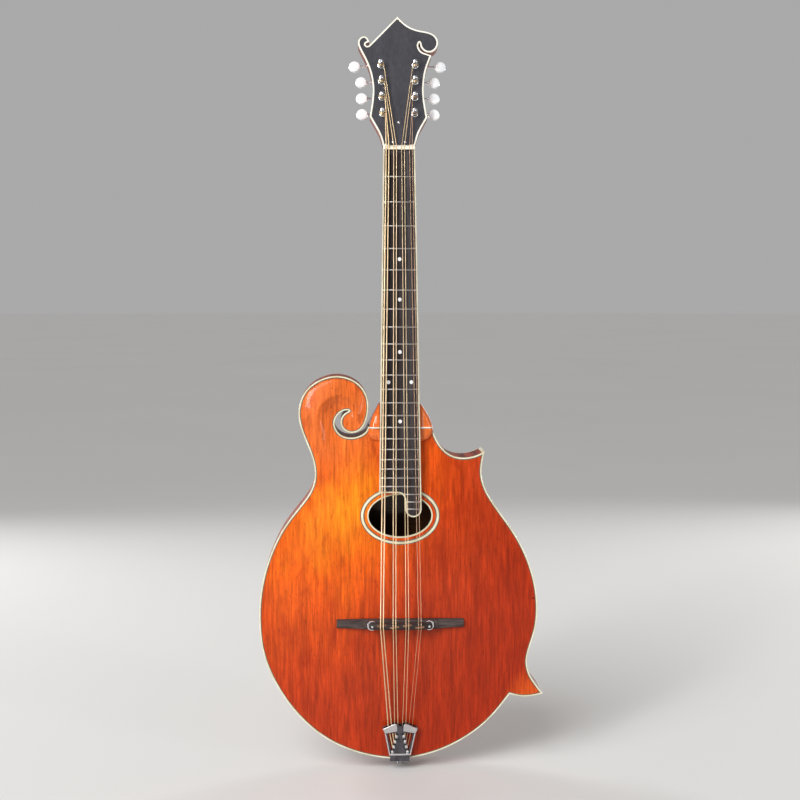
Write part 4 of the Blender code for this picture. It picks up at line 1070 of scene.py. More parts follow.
def half_board(s):
    """Half the width of the fingerboard at a place along the neck."""
    share = (NUT_S - s) / (NUT_S - BOARD_TREBLE_END)
    return NUT_WIDTH / 2 + share * (BOARD_END_HALF_WIDTH - NUT_WIDTH / 2)


def under_board(s):
    """Height, in the body frame, of the fingerboard's underside."""
    return RIM + BOARD_ABOVE_RIM - BOARD_THICKNESS - s * math.tan(NECK_ANGLE) - 0.1


def along(line, s):
    """The x of a line of (x, s) points at a given s."""
    order = np.argsort(line[:, 1])
    return float(np.interp(s, line[order, 1], line[order, 0]))


def neck_shaft():
    """Neck and heel as one carved piece, from the body to just behind the nut."""
    cheeks = [spline(CHEEK_BASS[:5]), spline(CHEEK_TREBLE[:5])]
    shoulders = [spline(SHOULDER_BASS), spline(SHOULDER_TREBLE)]
    depths = spline(NECK_DEPTH)[::-1]
    stations = np.concatenate([
        np.arange(0.1, 31, 2.2), np.arange(31.5, 100, 1.5), np.linspace(101, 366, 40),
    ])
    turns = np.radians(np.linspace(0, 90, 15))
    sections = []
    for s in stations:
        top = under_board(s)
        depth = top + RIB_HALF
        if s > 49:
            depth = min(float(np.interp(s, depths[:, 0], depths[:, 1])), depth)
        section = []
        for k, side in ((1, 1), (0, -1)):
            plain = half_board(s) - 0.15
            wide = max(plain, side * along(cheeks[k], s)) if s < 29.5 else plain
            cap = side * along(shoulders[k], s) if s < 35.5 else BUTTON_HALF * float(smooth((67 - s) / 20))
            front = RIM if s < 29.5 else top
            corner = [
                (side * (plain - 0.4), s, top), (side * (plain - 0.3), s, front), (side * wide, s, front),
            ]
            for turn in turns:
                x = cap + (wide - cap) * math.cos(turn) ** 1.24
                corner.append((side * x, s, front - 1.4 - (depth - (top - front) - 1.4) * math.sin(turn)))
            section += corner if side > 0 else corner[::-1]
        sections.append(section)
    return loft(sections)


def volute():
    """The neck's back flowing into the head's, in the head frame."""
    outline = even(spline(HEAD_PIECES[0]), 0.5)
    turns = np.radians(np.linspace(0, 180, 25))
    sections = []
    for s in np.linspace(-6, 34, 27):
        half = min(20.8, half_board(NUT_S)) if s < 2.6 else -along(outline, s) - 0.05
        share = float(smooth((s + 4) / 36))
        back_level = -17.8 + (17.8 - HEAD_THICKNESS + 0.4) * share
        crown = 1.24 * (1 - share) + 0.16 * share
        front = -2.4 if s > 2 else -3.6
        section = []
        for turn in turns:
            x = half * math.copysign(abs(math.cos(turn)) ** crown, math.cos(turn))
            deep = math.sin(turn) ** (1 - 0.4 * share)
            section.append((x, s, front - 2 + (back_level - front + 2) * deep))
        sections.append([(half, s, front)] + section + [(-half, s, front)])
    return loft(sections, HEAD)


def cheek(outline, name):
    """One raised lobe beside the fingerboard, with the soundboard's cream line across it."""
    line = even(spline(outline), 0.9)
    side = 1 if line[0, 0] > 0 else -1
    loop = wound(np.vstack([line, [(side * 26.8, -19.2), (side * 26.8, 29.5)]]), True)

    def crown(x, s):
        edge = distance_to(np.column_stack([x, s]), line, False)
        share = np.clip(edge / 9.5, 0, 1)
        return RIM + CHEEK_HEIGHT * np.sqrt(np.clip(1 - (1 - share) ** 2.2, 0, 1))

    inner = []
    for width in (0.12, 0.35, 0.7, 1.2, 1.9, 2.8, 4.0, 5.4, 7.0, 9.0):
        moved = beside(loop, width)
        inner.append(moved[abs(moved[:, 0]) > 27.2])
    piece(name, [slab([loop], RIM - 1.2, crown, inner=np.vstack(inner))], NECK_MAPLE)
    wide = abs(along(line[line[:, 1] > -6], -1.0))
    for start, stop, rise, finish, word in (
        (-1.7, -0.2, 0.06, WHITE, "line"), (-2.2, -1.7, 0.05, LINE, "dark_line"),
    ):
        across = np.linspace(26.9, wide - 0.05, 24)
        band = [(side * x, start) for x in across] + [(side * x, stop) for x in across[::-1]]
        lifted = slab([band], lambda x, s: crown(x, s) - 0.4, lambda x, s: crown(x, s) + rise)
        piece(f"{name}_{word}", [lifted], finish)


def tongue():
    """The wedge that carries the fingerboard over the soundboard."""
    sections = []
    for s in np.linspace(0.4, -83, 18):
        top = under_board(s)
        low = RIM + 0.2 + 0.6 * float(top_arch(np.array([0.0]), np.array([min(s, -1.0)]))[0])
        sections.append([(-26.4, s, low), (26.4, s, low), (26.4, s, top), (-26.4, s, top)])
    return loft(sections)


def headstock():
    outline = wound(path(HEAD_PIECES, 0.8), True)
    head = slab([outline], -HEAD_THICKNESS, -OVERLAY, HEAD, ease=0.0, ease_back=0.7)
    piece("neck_and_heel", [neck_shaft()], NECK_MAPLE, ["neck"], slot="maple")
    piece("neck_volute", [volute()], NECK_MAPLE, slot="maple")
    piece("neck_tongue", [tongue()], NECK_MAPLE, slot="maple")
    piece("headstock_wood", [head], HEAD_MAPLE, slot="maple")
    cheek(CHEEK_TREBLE, "cheek_treble")
    cheek(CHEEK_BASS, "cheek_bass")
    edge = beside(outline, HEAD_BINDING)
    holes = []
    for side in (-1, 1):
        for i in range(4):
            centre = HEAD.inverted() @ post_axis(i, side).translation
            holes.append(ring((centre.x, centre.y), (POST_RADIUS + 0.8,) * 2, 32))
    veneer = slab([edge, *holes], -OVERLAY, 0, HEAD)
    piece("headstock_veneer", [veneer], OVERLAY_WOOD, ["headstock_overlay"], slot="overlay")
    rim = slab([outline, edge], -OVERLAY, 0.05, HEAD, ease=0.3, ease_back=0.0)
    piece("headstock_binding", [rim], WHITE, slot="cream")
    flare = even(spline([(0, 39.5), (-3.4, 38), (-5.6, 33), (-8.5, 22), (-13.6, 11), (-14.2, 4)]), 0.8)
    bell = np.vstack([flare, flare[::-1][:-1] * (-1, 1)])
    cover = slab([bell], 0, 1.7, HEAD, ease=0.5, ease_back=0.0)
    piece("truss_cover", [cover], OVERLAY_WOOD, ["truss_rod_cover"], slot="overlay")
    screws = []
    for x, s in ((0, 35), (-8, 7.5), (8, 7.5)):
        dome = [(1.75, 1.2), (1.75, 1.9), (1.45, 2.3), (0.8, 2.55), (0.05, 2.6)]
        screws.append(lathe(dome, 20, out_of(HEAD, x, s, 0)))
    piece("cover_screws", screws, CHROME)


def machine_frame(side):
    """Frame of one strip of tuning machines: s runs along the posts, on the head's face."""
    lean = Matrix.Rotation(-side * MACHINE_LEAN, 4, "Z")
    return HEAD @ Matrix.Translation((side * POST_X, POST_S[0], 0)) @ lean


def post_axis(index, side):
    """Frame of one post, with its s axis along the post and out of the front."""
    return out_of(machine_frame(side), 0, POST_S[index] - POST_S[0], 0)


def fingerboard():
    radius = (half_board(BOARD_TREBLE_END + 10) - 6.6) / 2
    end = arc((6.6 + radius, BOARD_TREBLE_END + radius), (radius, radius), 180, 360, 30)
    sweep = even(spline([(-4, BOARD_BASS_END), (1.8, -87.4), (5.6, -92.5), (6.6, -101)]), 0.8)
    bass_end = (-half_board(BOARD_BASS_END), BOARD_BASS_END)
    treble_end = (half_board(BOARD_TREBLE_END + 10), -104)
    line = np.vstack([
        even(np.array([(-half_board(NUT_S), NUT_S), bass_end]), 12), sweep, end[1:],
        even(np.array([treble_end, (half_board(NUT_S), NUT_S)]), 12),
    ])
    inner_line = beside(line, BOARD_BINDING, False)
    board = slab([inner_line], -BOARD_THICKNESS, 0, NECK)
    piece("ebony_board", [board], EBONY, ["fingerboard"], slot="ebony")
    band = np.vstack([line, inner_line[::-1]])
    binding = slab([band], -BOARD_THICKNESS, 0, NECK, ease=0.25, ease_back=0.0)
    piece("board_binding", [binding], BOARD_CREAM, slot="cream")
    frets, dots = [], []
    arch = np.radians(np.linspace(0, 180, 9))
    closed = np.vstack([inner_line, inner_line[:1]])
    places = [NUT_S - STRING_LENGTH * (1 - 2 ** (-i / 12)) for i in range(FRETS + 1)]
    for s in places[1:]:
        a, b = closed[:-1], closed[1:]
        crossed = (a[:, 1] > s) != (b[:, 1] > s)
        share = (s - a[crossed, 1]) / (b[crossed, 1] - a[crossed, 1])
        xs = a[crossed, 0] + share * (b[crossed, 0] - a[crossed, 0])
        low, high = xs.min(), xs.max()
        sections = []
        for x, tall in (
            (low, 0.25), (low + 0.25, 0.7), (low + 0.8, 1),
            (high - 0.8, 1), (high - 0.25, 0.7), (high, 0.25),
        ):
            curve = [(x, s + FRET_HALF * math.cos(t), tall * math.sin(t)) for t in arch]
            sections.append([(x, s - FRET_HALF, -0.5)] + curve[::-1] + [(x, s + FRET_HALF, -0.5)])
        frets.append(loft(sections, NECK))
    piece("frets", frets, FRET_METAL)
    for fret, xs in ((5, (0,)), (7, (0,)), (10, (0,)), (12, (-15, 15)), (15, (0,))):
        s = (places[fret] + places[fret - 1]) / 2
        disc = [(2.5, -1.5), (2.5, 0.0), (2.4, 0.06), (0.05, 0.07)]
        dots += [lathe(disc, 28, out_of(NECK, x, s, 0)) for x in xs]
    piece("board_dots", dots, PEARL)


def nut():
    half = NUT_WIDTH / 2
    slots = [c + hand * COURSE_HALF_GAP for c in COURSE_AT_NUT for hand in (-1, 1)]
    marks = {-half: 0.6, -half + 0.8: 0.0, half - 0.8: 0.0, half: 0.6}
    for x, radius in zip(slots, STRING_RADIUS):
        for share, drop in ((-1.3, 0.0), (-1.0, 0.5), (-0.6, 0.9), (0.6, 0.9), (1.0, 0.5), (1.3, 0.0)):
            marks[x + share * (radius + 0.1)] = drop
    low, high = NUT_S + 0.05, NUT_S + GAP + NUT_THICKNESS
    sections = []
    for x in sorted(marks):
        top = 2.3 - marks[x]
        profile = [
            (low, -BOARD_THICKNESS), (low, top - 0.3), (low + 0.3, top), (high - 1.8, top - 0.15),
            (high - 0.6, top - 0.8), (high, top - 1.7), (high, -BOARD_THICKNESS),
        ]
        sections.append([(x, s, n) for s, n in profile])
    piece("bone_nut", [loft(sections, NECK)], BONE, ["nut"], slot="bone")


headstock()
fingerboard()
nut()


# ---------------------------------------------------------------- bridge


def bridge():
    saddle_low = STRING_N_AT_BRIDGE - SADDLE_HEIGHT
    wheel_low = saddle_low - GAP - WHEEL_THICKNESS
    deck = wheel_low - WHEEL_DROP
    half_depth = BRIDGE_DEPTH / 2
    sections = []
    outer = np.linspace(BRIDGE_STEP + 0.5, BRIDGE_HALF_LENGTH, 15)
    for x in np.concatenate([-outer[::-1], np.linspace(-BRIDGE_STEP, BRIDGE_STEP, 41), outer]):
        spots = np.array([BRIDGE_S + half_depth, BRIDGE_S, BRIDGE_S - half_depth])
        under = RIM + 0.1 + top_arch(np.full(3, x), spots)
        far = max(0.0, abs(x) - BRIDGE_STEP) / (BRIDGE_HALF_LENGTH - BRIDGE_STEP)
        top = deck - (BRIDGE_DROP + BRIDGE_SLOPE * far if far else 0)
        narrow = half_depth - 1.2 - 1.6 * far
        foot = half_depth - 0.9 * far
        sections.append([
            (x, BRIDGE_S - foot, under[2]), (x, BRIDGE_S, under[1]), (x, BRIDGE_S + foot, under[0]),
            (x, BRIDGE_S + foot - 0.2, under[0] + 1.4), (x, BRIDGE_S + narrow + 0.5, top - 0.9),
            (x, BRIDGE_S + narrow - 0.4, top), (x, BRIDGE_S - narrow + 0.4, top),
            (x, BRIDGE_S - narrow - 0.5, top - 0.9), (x, BRIDGE_S - foot + 0.2, under[2] + 1.4),
        ])
    piece("bridge_foot", [loft(sections)], BRIDGE_WOOD, ["bridge_base"], slot="ebony")
    studs = []
    for side in (-1, 1):
        axis = out_of(BODY, side * WHEEL_X, BRIDGE_S, 0)
        tip = STRING_N_AT_BRIDGE - 2.6
        thread = [(STUD_RADIUS, deck - 3)]
        for k in range(20):
            turn = deck + 0.4 + k * (tip - 1.5 - deck) / 20
            thread += [(STUD_RADIUS, turn), (STUD_RADIUS - 0.22, turn + 0.3)]
        studs.append(lathe(thread + [(STUD_RADIUS, tip - 0.6), (STUD_RADIUS - 0.5, tip)], 20, axis))
    piece("bridge_studs", studs, CHROME)
    for side, word in ((-1, "bass"), (1, "treble")):
        centre = (side * WHEEL_X, BRIDGE_S)
        knurl = ring(centre, (WHEEL_RADIUS,) * 2, 96)
        teeth = np.where(np.arange(96) % 4 < 2, 1.0, 0.955)[:, None]
        knurl = np.array(centre) + (knurl - centre) * teeth
        bore = ring(centre, (STUD_RADIUS + 0.15,) * 2, 32)
        wheel = slab([knurl, bore], wheel_low, wheel_low + WHEEL_THICKNESS, ease=0.3)
        piece(f"wheel_{word}", [wheel], CHROME, [f"bridge_wheel_{word}"], f"wheel_{word}", "chrome")


def saddle():
    """The saddle and its compensated crown, stepped back and forth under the pairs of strings."""
    low = STRING_N_AT_BRIDGE - SADDLE_HEIGHT
    half = SADDLE_DEPTH / 2
    ends = np.array([(0, 0.4), (29, 0.4), (33, 2.0), (39.6, 2.2), (SADDLE_HALF_LENGTH, 2.8)])
    bores = [ring((side * WHEEL_X, BRIDGE_S), (STUD_RADIUS + 0.15,) * 2, 32) for side in (-1, 1)]
    straight = SADDLE_HALF_LENGTH - half
    right_end = arc((straight, BRIDGE_S), (half, half), -90, 90, 20)
    left_end = arc((-straight, BRIDGE_S), (half, half), 90, 270, 20)
    upper = [(x, BRIDGE_S + half) for x in np.linspace(straight, -straight, 58)[1:-1]]
    lower = [(x, BRIDGE_S - half) for x in np.linspace(-straight, straight, 58)[1:-1]]
    edge = np.vstack([right_end, upper, left_end, lower])

    def top(x, s):
        drop = np.interp(abs(x), ends[:, 0], ends[:, 1])
        away = np.abs(s - BRIDGE_S)
        return STRING_N_AT_BRIDGE - drop - 0.5 - 2.0 * smooth((away - 1.5) / 2.6)

    across = np.linspace(2 - straight, straight - 2, 57)
    flat = np.array([(x, BRIDGE_S + s) for x in across for s in (-3.2, -2.2, -1.2, 0, 1.2, 2.2, 3.2)])
    clear = np.ones(len(flat), bool)
    for side in (-1, 1):
        clear &= np.hypot(flat[:, 0] - side * WHEEL_X, flat[:, 1] - BRIDGE_S) > STUD_RADIUS + 0.6
    body = slab([edge, *bores], low, top, inner=flat[clear])
    piece("saddle_body", [body], SADDLE_WOOD, ["bridge_saddle"], "saddle", "ebony")
    steps, half, tip = [], STEP_HALF_LENGTH, STRING_N_AT_BRIDGE + 0.1
    for course, offset in zip(COURSE_AT_BRIDGE, (2.0, -0.4, 1.9, -0.9)):
        for hand in (-1, 1):
            middle, s = course + hand * half, BRIDGE_S + (offset + 0.5 * hand)
            block = [(middle - half, s - 1.2), (middle + half, s - 1.2),
                     (middle + half, s + 1.2), (middle - half, s + 1.2)]
            steps.append(slab([block], STRING_N_AT_BRIDGE - 3.5, tip, ease=0.3, ease_back=0.0))
    piece("saddle_steps", steps, SADDLE_TOP, body="saddle", slot="ebony")


bridge()
saddle()


# ---------------------------------------------------------------- tailpiece and end pin


def tailpiece():
    """A windowed plate on a hanger, with bright rails, two speckled panels and eight hooks."""
    right = np.array([(14.2, 0.5), (20.6, 34), (23.2, 40.8), (9, 47.4), (5.5, 47.8), (1.6, 45.6)])
    outline = np.vstack([right, right[::-1] * (-1, 1)])
    window = np.array([(-11.6, 7), (-11.1, 5.8), (-10.2, 7), (-6.4, 34.2), (-17.6, 34.2)])
    plate = slab([outline, window, window * (-1, 1)], 0, 1.6, TAIL, ease=0.2)
    piece("tailpiece_plate", [plate], DULL, ["tailpiece"], slot="chrome")
    rail = np.array([(12.9, 1), (14.4, 1), (20.8, 34), (23.2, 40.6), (21.4, 40.2), (18.9, 34)])
    panel = np.array([
        (4.0, 37.4), (20.4, 34.4), (23.3, 41.0), (16, 44.2), (9, 47.6), (5.6, 47.9), (4.4, 45.6),
    ])
    leg = np.array([(19.0, 35.0), (20.6, 34.8), (22.9, 40.4), (21.2, 40.2)])
    rails, panels = [], []
    for side in (-1, 1):
        rails.append(slab([rail * (side, 1)], 0.4, 4.6, TAIL, ease=0.4))
        panels.append(slab([panel * (side, 1)], 5.6, 8.0, TAIL, ease=0.8))
        panels.append(slab([leg * (side, 1)], 1.2, 5.8, TAIL, ease=0.1))
    bar = [(-14.2, 0.2), (14.2, 0.2), (14.5, 3.2), (-14.5, 3.2)]
    rails.append(slab([bar], 0.2, 3.8, TAIL, ease=0.8))
    piece("tailpiece_rails", rails, CHROME, slot="chrome")
    piece("tailpiece_panels", panels, SPECKLED, slot="chrome")
    notch = [(-4.2, 37.4), (4.2, 37.4), (4.4, 45.4), (1.6, 45.0), (-1.6, 45.0), (-4.4, 45.4)]
    lip = [(-19.6, 33.2), (0, 35.8), (19.6, 33.2), (20.2, 35.0), (0, 37.8), (-20.2, 35.0)]
    pad = [slab([notch], 5.4, 7.2, TAIL, ease=0.3), slab([lip], 4.8, 6.6, TAIL, ease=0.3)]
    piece("tailpiece_notch", pad, DULL, slot="chrome")
    tongue_half = np.array([(9.4, 3.0), (8.4, 11), (6.2, 23), (5.0, 35.6)])
    centre = np.vstack([(-9.4, 3.0), tongue_half, tongue_half[:0:-1] * (-1, 1)])
    piece("tailpiece_centre", [slab([centre], 1.4, 2.6, TAIL, ease=0.4, ease_back=0.0)], DULL, slot="chrome")
    hooks, sockets = [], []
    for row in range(4):
        s = 31.0 - 7.5 * row
        x = 3.0 + 1.75 * row
        for side in (-1, 1):
            socket = [(1.25, 2.5), (1.25, 2.72), (0.1, 2.74)]
            sockets.append(lathe(socket, 18, out_of(TAIL, side * x, s, 0)))
            foot = out_of(TAIL, side * (x + 1.9), s - 3.6, 0)
            shape = [(1.9, 1.5), (1.9, 3.0), (1.7, 3.6), (1.1, 4.1), (0.1, 4.3)]
            hooks.append(lathe(shape, 20, foot, (1.0, 1.35)))
    piece("tailpiece_pins", hooks, SPECKLED, slot="chrome")
    # Painted shade: small dark ebony discs beside the hooks stand in for the shade in the sockets.
    piece("tailpiece_socket_shade", sockets, EBONY)
    half, high = 13, BODY_BOTTOM - 0.5
    low = high - 1.6
    hanger = slab([[(-half, low), (half, low), (half, high), (-half, high)]], -6.8, 34.2, ease=0.3)
    fold = loft([
        [(x, low, 33.6), (x, high + 8.6, 33.6), (x, high + 8.6, 35.2), (x, low + 1.6, 35.4), (x, low, 34.8)]
        for x in (-half, half)
    ])
    piece("tailpiece_hanger", [hanger, fold], DULL, slot="chrome")


def end_pin():
    knob = [
        (0.2, 0), (3.6, 0), (4.2, 0.35), (4.3, 1.0), (4.2, 1.7), (3.4, 2.6), (2.8, 3.8), (2.7, 5.0),
        (2.7, 9.1), (3.2, 10.3), (4.0, 10.7), (4.2, 11.0), (4.2, 11.6), (3.0, 11.6), (3.0, 36.5), (2.2, 38.5),
    ]
    pin = lathe(knob, 40, BODY @ Matrix.Translation((0, -JOINT_Z, 0)))
    piece("end_pin", [pin], CHROME, ["endpin"], slot="chrome")


tailpiece()
end_pin()


# ---------------------------------------------------------------- tuning machines


def strip_outline(width, grow=0.0):
    """One machine strip: straight sides and ornamental pointed ends."""
    top, bottom = POST_S[3] - POST_S[0] + 22 + grow, -12.8 - grow
    low = [(0, 0), (0.2, 0.4), (0.34, 2.6), (0.72, 4.6), (0.95, 6.2), (1, 7.6)]
    high = [(1, 10.2), (0.9, 8.2), (0.62, 5.6), (0.4, 2.4), (0.22, 0.4), (0, 0)]
    right = np.array(
        [(width * x, bottom + s) for x, s in low] + [(width * x, top - s) for x, s in high]
    )
    return np.vstack([right, right[::-1][1:-1] * (-1, 1)])


def worm_axis(index, side):
    """Frame of one worm shaft, its s axis pointing outwards to the button."""
    middle = (0, POST_S[index] - POST_S[0] + WORM_OFFSET, MACHINE_N)
    return machine_frame(side) @ Matrix.Translation(middle) @ Matrix.Rotation(-side * math.pi / 2, 4, "Z")


def machines():
    """The two strips of tuning machines: base, cover, ornaments, screws and the bushings in front."""
    rows = [s - POST_S[0] for s in POST_S]
    back = MACHINE_N - WORM_RADIUS - 0.8 - GAP
    outline, cavity = strip_outline(STRIP_HALF_WIDTH), strip_outline(STRIP_HALF_WIDTH - 1.0, -1.6)
    boss = [(5.2, 0.3), (5.2, -0.3), (4.8, -0.7), (3.9, -0.8), (3.2, -0.6), (3.1, -0.1)]
    # The well is a thin flat disc that carries painted shade in place of a hole.
    well = [(3.05, -0.12), (3.05, -0.3), (0.1, -0.32)]
    stud = [(1.2, -0.35), (1.2, -0.7), (0.8, -1.0), (0.1, -1.1)]
    screw = [(1.6, 0.2), (1.6, -0.2), (1.2, -0.55), (0.1, -0.65)]
    bushing = [(3.5, 0.0), (5.1, 0.0), (5.1, 0.5), (4.7, 1.1), (3.9, 1.5), (3.5, 1.5)]
    turns = np.radians(np.linspace(0, 180, 13))
    for side, word in ((-1, "bass"), (1, "treble")):
        place = machine_frame(side)

        def turned(profile, sides, spots=rows):
            shape = [(radius, back + n) for radius, n in profile]
            return [lathe(shape, sides, out_of(place, 0, s, 0)) for s in spots]

        holes = [ring((0, s), (POST_RADIUS + 0.2,) * 2, 24) for s in rows]
        base = slab([outline, *holes], -HEAD_THICKNESS - 1.4, -HEAD_THICKNESS, place)
        piece(f"machine_plate_{word}", [base], CHROME, [f"machine_base_{word}"], slot="chrome")
        wall = slab([outline, cavity], back + 0.8, -HEAD_THICKNESS - 1.4, place)
        lid = slab([outline], back, back + 0.8, place, ease=0.0, ease_back=0.45)
        piece(f"machine_housing_{word}", [wall, lid], ENGRAVED, [f"machine_cover_{word}"], slot="chrome")
        humps = []
        for s in rows:
            sections = []
            for x, size in ((-8.7, 0.8), (-8.3, 1.0), (8.3, 1.0), (8.7, 0.8)):
                out, up = 1.7 * size, 2.6 * size
                sections.append([
                    (x, s + WORM_OFFSET + up * math.cos(t), back + 0.4 - out * math.sin(t)) for t in turns
                ])
            humps.append(loft(sections, place))
        piece(f"machine_bosses_{word}", turned(boss, 36), CHROME, slot="chrome")
        piece(f"machine_humps_{word}", humps, ENGRAVED, slot="chrome")
        # Painted shade: flat ebony-dark discs inside the bosses stand in for the shade in the holes over the
        # gears.
        piece(f"machine_hole_shade_{word}", turned(well, 28), EBONY)
        piece(f"machine_studs_{word}", turned(stud, 20), CHROME)
        screws = turned(screw, 20, (rows[0] - 8.6, rows[3] + 15.6))
        piece(f"machine_screws_{word}", screws, CHROME)
        bushings = [collar(bushing, 36, out_of(place, 0, s, 0)) for s in rows]
        piece(f"post_bushings_{word}", bushings, CHROME)


def collar(profile, sides, place):
    """A turned ring with a hole through it: the closed profile is (radius, s)."""
    turn = np.radians(np.arange(sides) * 360 / sides)
    count = len(profile)
    points = [(r * math.cos(t), s, r * math.sin(t)) for t in turn for r, s in profile]
    faces = []
    for i in range(sides):
        for k in range(count):
            a, b = i * count, ((i + 1) % sides) * count
            j = (k + 1) % count
            faces.append([a + k, a + j, b + j, b + k])
    return placed(points, place), faces, None


def coil_points(index, side, radius, turns):
    """The wraps of a string round its post, from where the string meets it."""
    axis = post_axis(index, side)
    reach = POST_WAIST + radius + 0.1
    start = machine_frame(side) @ Vector((-side * reach, POST_S[index] - POST_S[0], STRING_LEVEL[index]))
    local = axis.inverted() @ start
    first = math.atan2(local.z, local.x)
    pitch = 2 * radius * 1.05
    line = []
    for k in range(int(turns * WRAP_STEPS) + 1):
        share = k / WRAP_STEPS
        angle = first + side * 2 * math.pi * share
        place = (reach * math.cos(angle), local.y - pitch * share, reach * math.sin(angle))
        line.append(tuple(axis @ Vector(place)))
    return line


def keys():
    """Posts with their gears, worm shafts and buttons, four a side."""
    tip = [
        (POST_WAIST, 4.8), (2.9, 3.2), (3.15, 2.2), (3.15, 1.0), (2.9, 0.35), (2.2, 0.05), (1.3, 0.1),
        (0.9, 0.9), (0.1, 1.0),
    ]
    post = [
        (0.2, MACHINE_N - 1.4), (2.4, MACHINE_N - 1.4), (POST_RADIUS, MACHINE_N - 1.0), (POST_RADIUS, 2.6),
        (2.85, 3.1), (POST_WAIST, 3.6),
    ] + [(radius, POST_TOP - down) for radius, down in tip]
    rim = [(BUTTON_RADIUS - 0.55, -2.4), (BUTTON_RADIUS - 0.12, -1.3), (BUTTON_RADIUS, 0)]
    rim += [(r, -s) for r, s in rim[:-1][::-1]]
    crown = [(0.1, -3.15), (2.5, -3.2), (4.6, -3.1), (6.2, -2.9)]
    button = crown + rim + [(r, -s) for r, s in crown[::-1]]
    for side, word in ((-1, "bass"), (1, "treble")):
        for i, reach in enumerate(BUTTON_REACH):
            tag = f"{word}_{i + 1}"
            index = i if side < 0 else 7 - i
            axis = post_axis(i, side)
            teeth = ring((0, 0), (GEAR_RADIUS,) * 2, 4 * GEAR_TEETH)
            teeth = teeth * np.where(np.arange(4 * GEAR_TEETH) % 4 < 2, 1.0, 0.82)[:, None]
            upright = axis @ Matrix.Rotation(-math.pi / 2, 4, "X")
            gear = slab([teeth], MACHINE_N - 1.4, MACHINE_N + 1.4, upright)
            shaft = (lathe(post, 32, axis), (gear[0], gear[1], None))
            piece(f"post_{tag}", shaft, CHROME, [f"string_post_{tag}"], f"post_{tag}", "chrome")
            radius = STRING_RADIUS[index]
            wraps = 1.6 if radius > 0.5 else 2.6
            coil = tube(coil_points(i, side, radius, wraps), radius * 0.98, 8)
            finish = BRONZE if index < 6 else TREBLE_WIRE
            piece(f"string_wraps_{tag}", [coil], finish, body=f"post_{tag}", slot="bronze")
            at = worm_axis(i, side)
            worm = [(0.2, -7.3), (SHAFT_RADIUS, -7.3), (SHAFT_RADIUS, -5.7)]
            for k in range(9):
                worm += [(WORM_RADIUS - 0.55, -5.4 + 1.2 * k), (WORM_RADIUS, -4.8 + 1.2 * k)]
            worm += [
                (SHAFT_RADIUS, 5.8), (SHAFT_RADIUS, 9.6), (2.1, 9.8), (2.1, 10.8), (SHAFT_RADIUS, 11.0),
                (SHAFT_RADIUS, reach - 9.6), (2.3, reach - 9.0), (2.5, reach - 6.6),
                (SHAFT_RADIUS, reach - 6.2), (SHAFT_RADIUS, reach),
            ]
            worm = [p for k, p in enumerate(worm) if k == 0 or p[1] >= worm[k - 1][1]]
            shaft = [lathe(worm, 20, at)]
            piece(f"shaft_{tag}", shaft, CHROME, [f"worm_shaft_{tag}"], f"key_{tag}", "chrome")
            knob = at @ Matrix.Translation((0, reach, 0)) @ Matrix.Rotation(math.pi / 2, 4, "X")
            disc = lathe(button, 48, knob)
            piece(f"button_{tag}", [disc], PEARL, [f"tuner_button_{tag}"], f"key_{tag}", "pearl")


machines()
keys()


# ---------------------------------------------------------------- strings


def string_route(index):
    """Where one string runs: its pin, under the tailpiece's bar, saddle, nut, and its post."""
    radius = STRING_RADIUS[index]
    course, hand = divmod(index, 2)
    shift = (2 * hand - 1) * COURSE_HALF_GAP
    post = pin = min(index, 7 - index)
    tail_x = STRING_AT_TAIL[index]
    pin_x = math.copysign(6.9 - 0.6 * pin, tail_x)
    level_n = 2.2 + GAP + 1.0
    points = [TAIL @ Vector((pin_x + 0.32 * (tail_x - pin_x), 12 + 7.4 * pin, level_n))]
    points.append(TAIL @ Vector((tail_x, 43.5, level_n)))
    over_saddle = STRING_N_AT_BRIDGE + GAP + radius
    points.append(BODY @ Vector((COURSE_AT_BRIDGE[course] + shift, BRIDGE_S, over_saddle)))
    nut_edge = NUT_S + GAP + NUT_THICKNESS - 0.6
    points.append(NECK @ Vector((COURSE_AT_NUT[course] + shift, nut_edge, 1.4 + GAP + radius)))
    side = -1 if index < 4 else 1
    reach = POST_WAIST + radius + 0.1
    near = machine_frame(side) @ Vector((-side * reach, POST_S[post] - POST_S[0], 0))
    at_post = HEAD.inverted() @ near
    points.append(HEAD @ Vector((at_post.x, at_post.y, STRING_LEVEL[post])))
    return radius, points


def strings():
    for index in range(8):
        radius, points = string_route(index)
        line = []
        for a, b in zip(points, points[1:]):
            long = (b - a).length >= 200
            shares = (0.0, 0.004, 0.25, 0.5, 0.75, 0.996) if long else (0.0, 0.02, 0.5, 0.98)
            line += [a.lerp(b, share) for share in shares]
        line.append(points[-1])
        finish = BRONZE if index < 6 else TREBLE_WIRE
        made = tube([tuple(p) for p in line], radius, 12)
        piece(f"wire_{index + 1}", [made], finish, [f"string_{index + 1}"], slot="bronze")


strings()

for name in ("neck_block", "tail_block", "transverse_brace"):
    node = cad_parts[name]
    node.data.materials.clear()
    node.data.materials.append(BARE)


# ---------------------------------------------------------------- camera, floor and light


def plain(name, colour, roughness):
    """A matt surface with broad, faint clouds."""
    made, tree, place = new_material(name, roughness)
    worn = tuple(0.97 * v for v in colour[:3]) + (1.0,)
    colours = ramp(tree, clouds(tree, place, (0.7, 0.7, 0.7), 3.0), [(0.3, worn), (0.7, colour)])
    tree.links.new(colours, tree.nodes["Principled BSDF"].inputs["Base Color"])
    return made


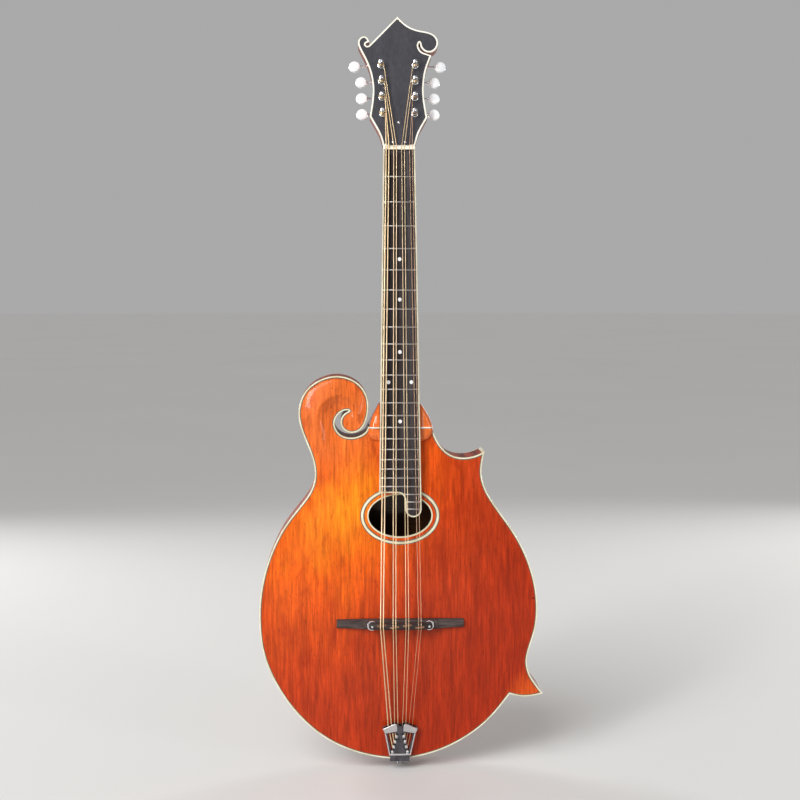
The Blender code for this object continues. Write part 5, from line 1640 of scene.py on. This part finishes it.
def studio():
    """A wide pale floor, in metres."""
    points = [(x, y, 0.0) for x, y in ring((0, 0), (FLOOR_RADIUS,) * 2, 64)]
    mesh = bpy.data.meshes.new("floor")
    mesh.from_pydata(points, [], [list(range(len(points)))])
    mesh.materials.append(plain("pale_floor", rgb(212, 211, 209), 0.7))
    floor = bpy.data.objects.new("floor", mesh)
    bpy.context.scene.collection.objects.link(floor)


def aimed(name, data, place, direction):
    """A light or camera at a place, looking along a direction."""
    made = bpy.data.objects.new(name, data)
    made.location = place
    made.rotation_mode = "QUATERNION"
    made.rotation_quaternion = Vector(direction).to_track_quat("-Z", "Y")
    bpy.context.scene.collection.objects.link(made)
    return made


def softbox(name, place, size, power):
    """A rectangular lamp turned to the middle of the instrument."""
    lamp = bpy.data.lights.new(name, "AREA")
    lamp.shape = "RECTANGLE"
    lamp.size, lamp.size_y = size
    lamp.energy = power
    lamp.spread = math.radians(120)
    aimed(name, lamp, place, Vector(LIT_POINT) - Vector(place))


def light():
    """A wide soft sun for an even floor, and softboxes for the highlights along the edges."""
    lamp = bpy.data.lights.new("sun", "SUN")
    lamp.energy = 2.0
    lamp.angle = math.radians(40)
    aimed("sun", lamp, (0, 0, 0), (0.42, 0.62, -0.66))
    softbox("key", (-1.5, -2.1, 1.3), (0.45, 1.4), 18)
    softbox("fill", (2.2, -2.0, 1.0), (0.4, 1.6), 6)
    softbox("back_left", (-1.8, 2.0, 1.1), (0.45, 1.6), 20)
    softbox("back_right", (1.9, 2.2, 1.1), (0.4, 1.6), 15)
    world = bpy.data.worlds.new("studio")
    bpy.context.scene.world = world
    world.use_nodes = True
    tree = world.node_tree
    around = tree.nodes["Background"]
    around.inputs["Color"].default_value = (1, 1, 1, 1)
    rays = tree.nodes.new("ShaderNodeLightPath")
    strength = spread(tree, rays.outputs["Is Camera Ray"], 0.0, 1.0, 0.2, 0.40)
    tree.links.new(strength, around.inputs["Strength"])
    bpy.context.scene.view_settings.view_transform = "Standard"


def camera():
    """Square to the fingerboard and a little to its left."""
    target = (NECK @ Vector((0, 36, 0))) * MM
    azimuth, elevation = CAMERA_AZIMUTH, NECK_ANGLE
    back = Vector((
        math.sin(azimuth) * math.cos(elevation), -math.cos(azimuth) * math.cos(elevation),
        math.sin(elevation),
    ))
    lens = bpy.data.cameras.new("camera")
    lens.lens = LENS
    lens.sensor_width = 36
    lens.clip_start, lens.clip_end = 0.05, 50
    bpy.context.scene.camera = aimed("camera", lens, target + CAMERA_DISTANCE * back, -back)


studio()
light()
camera()
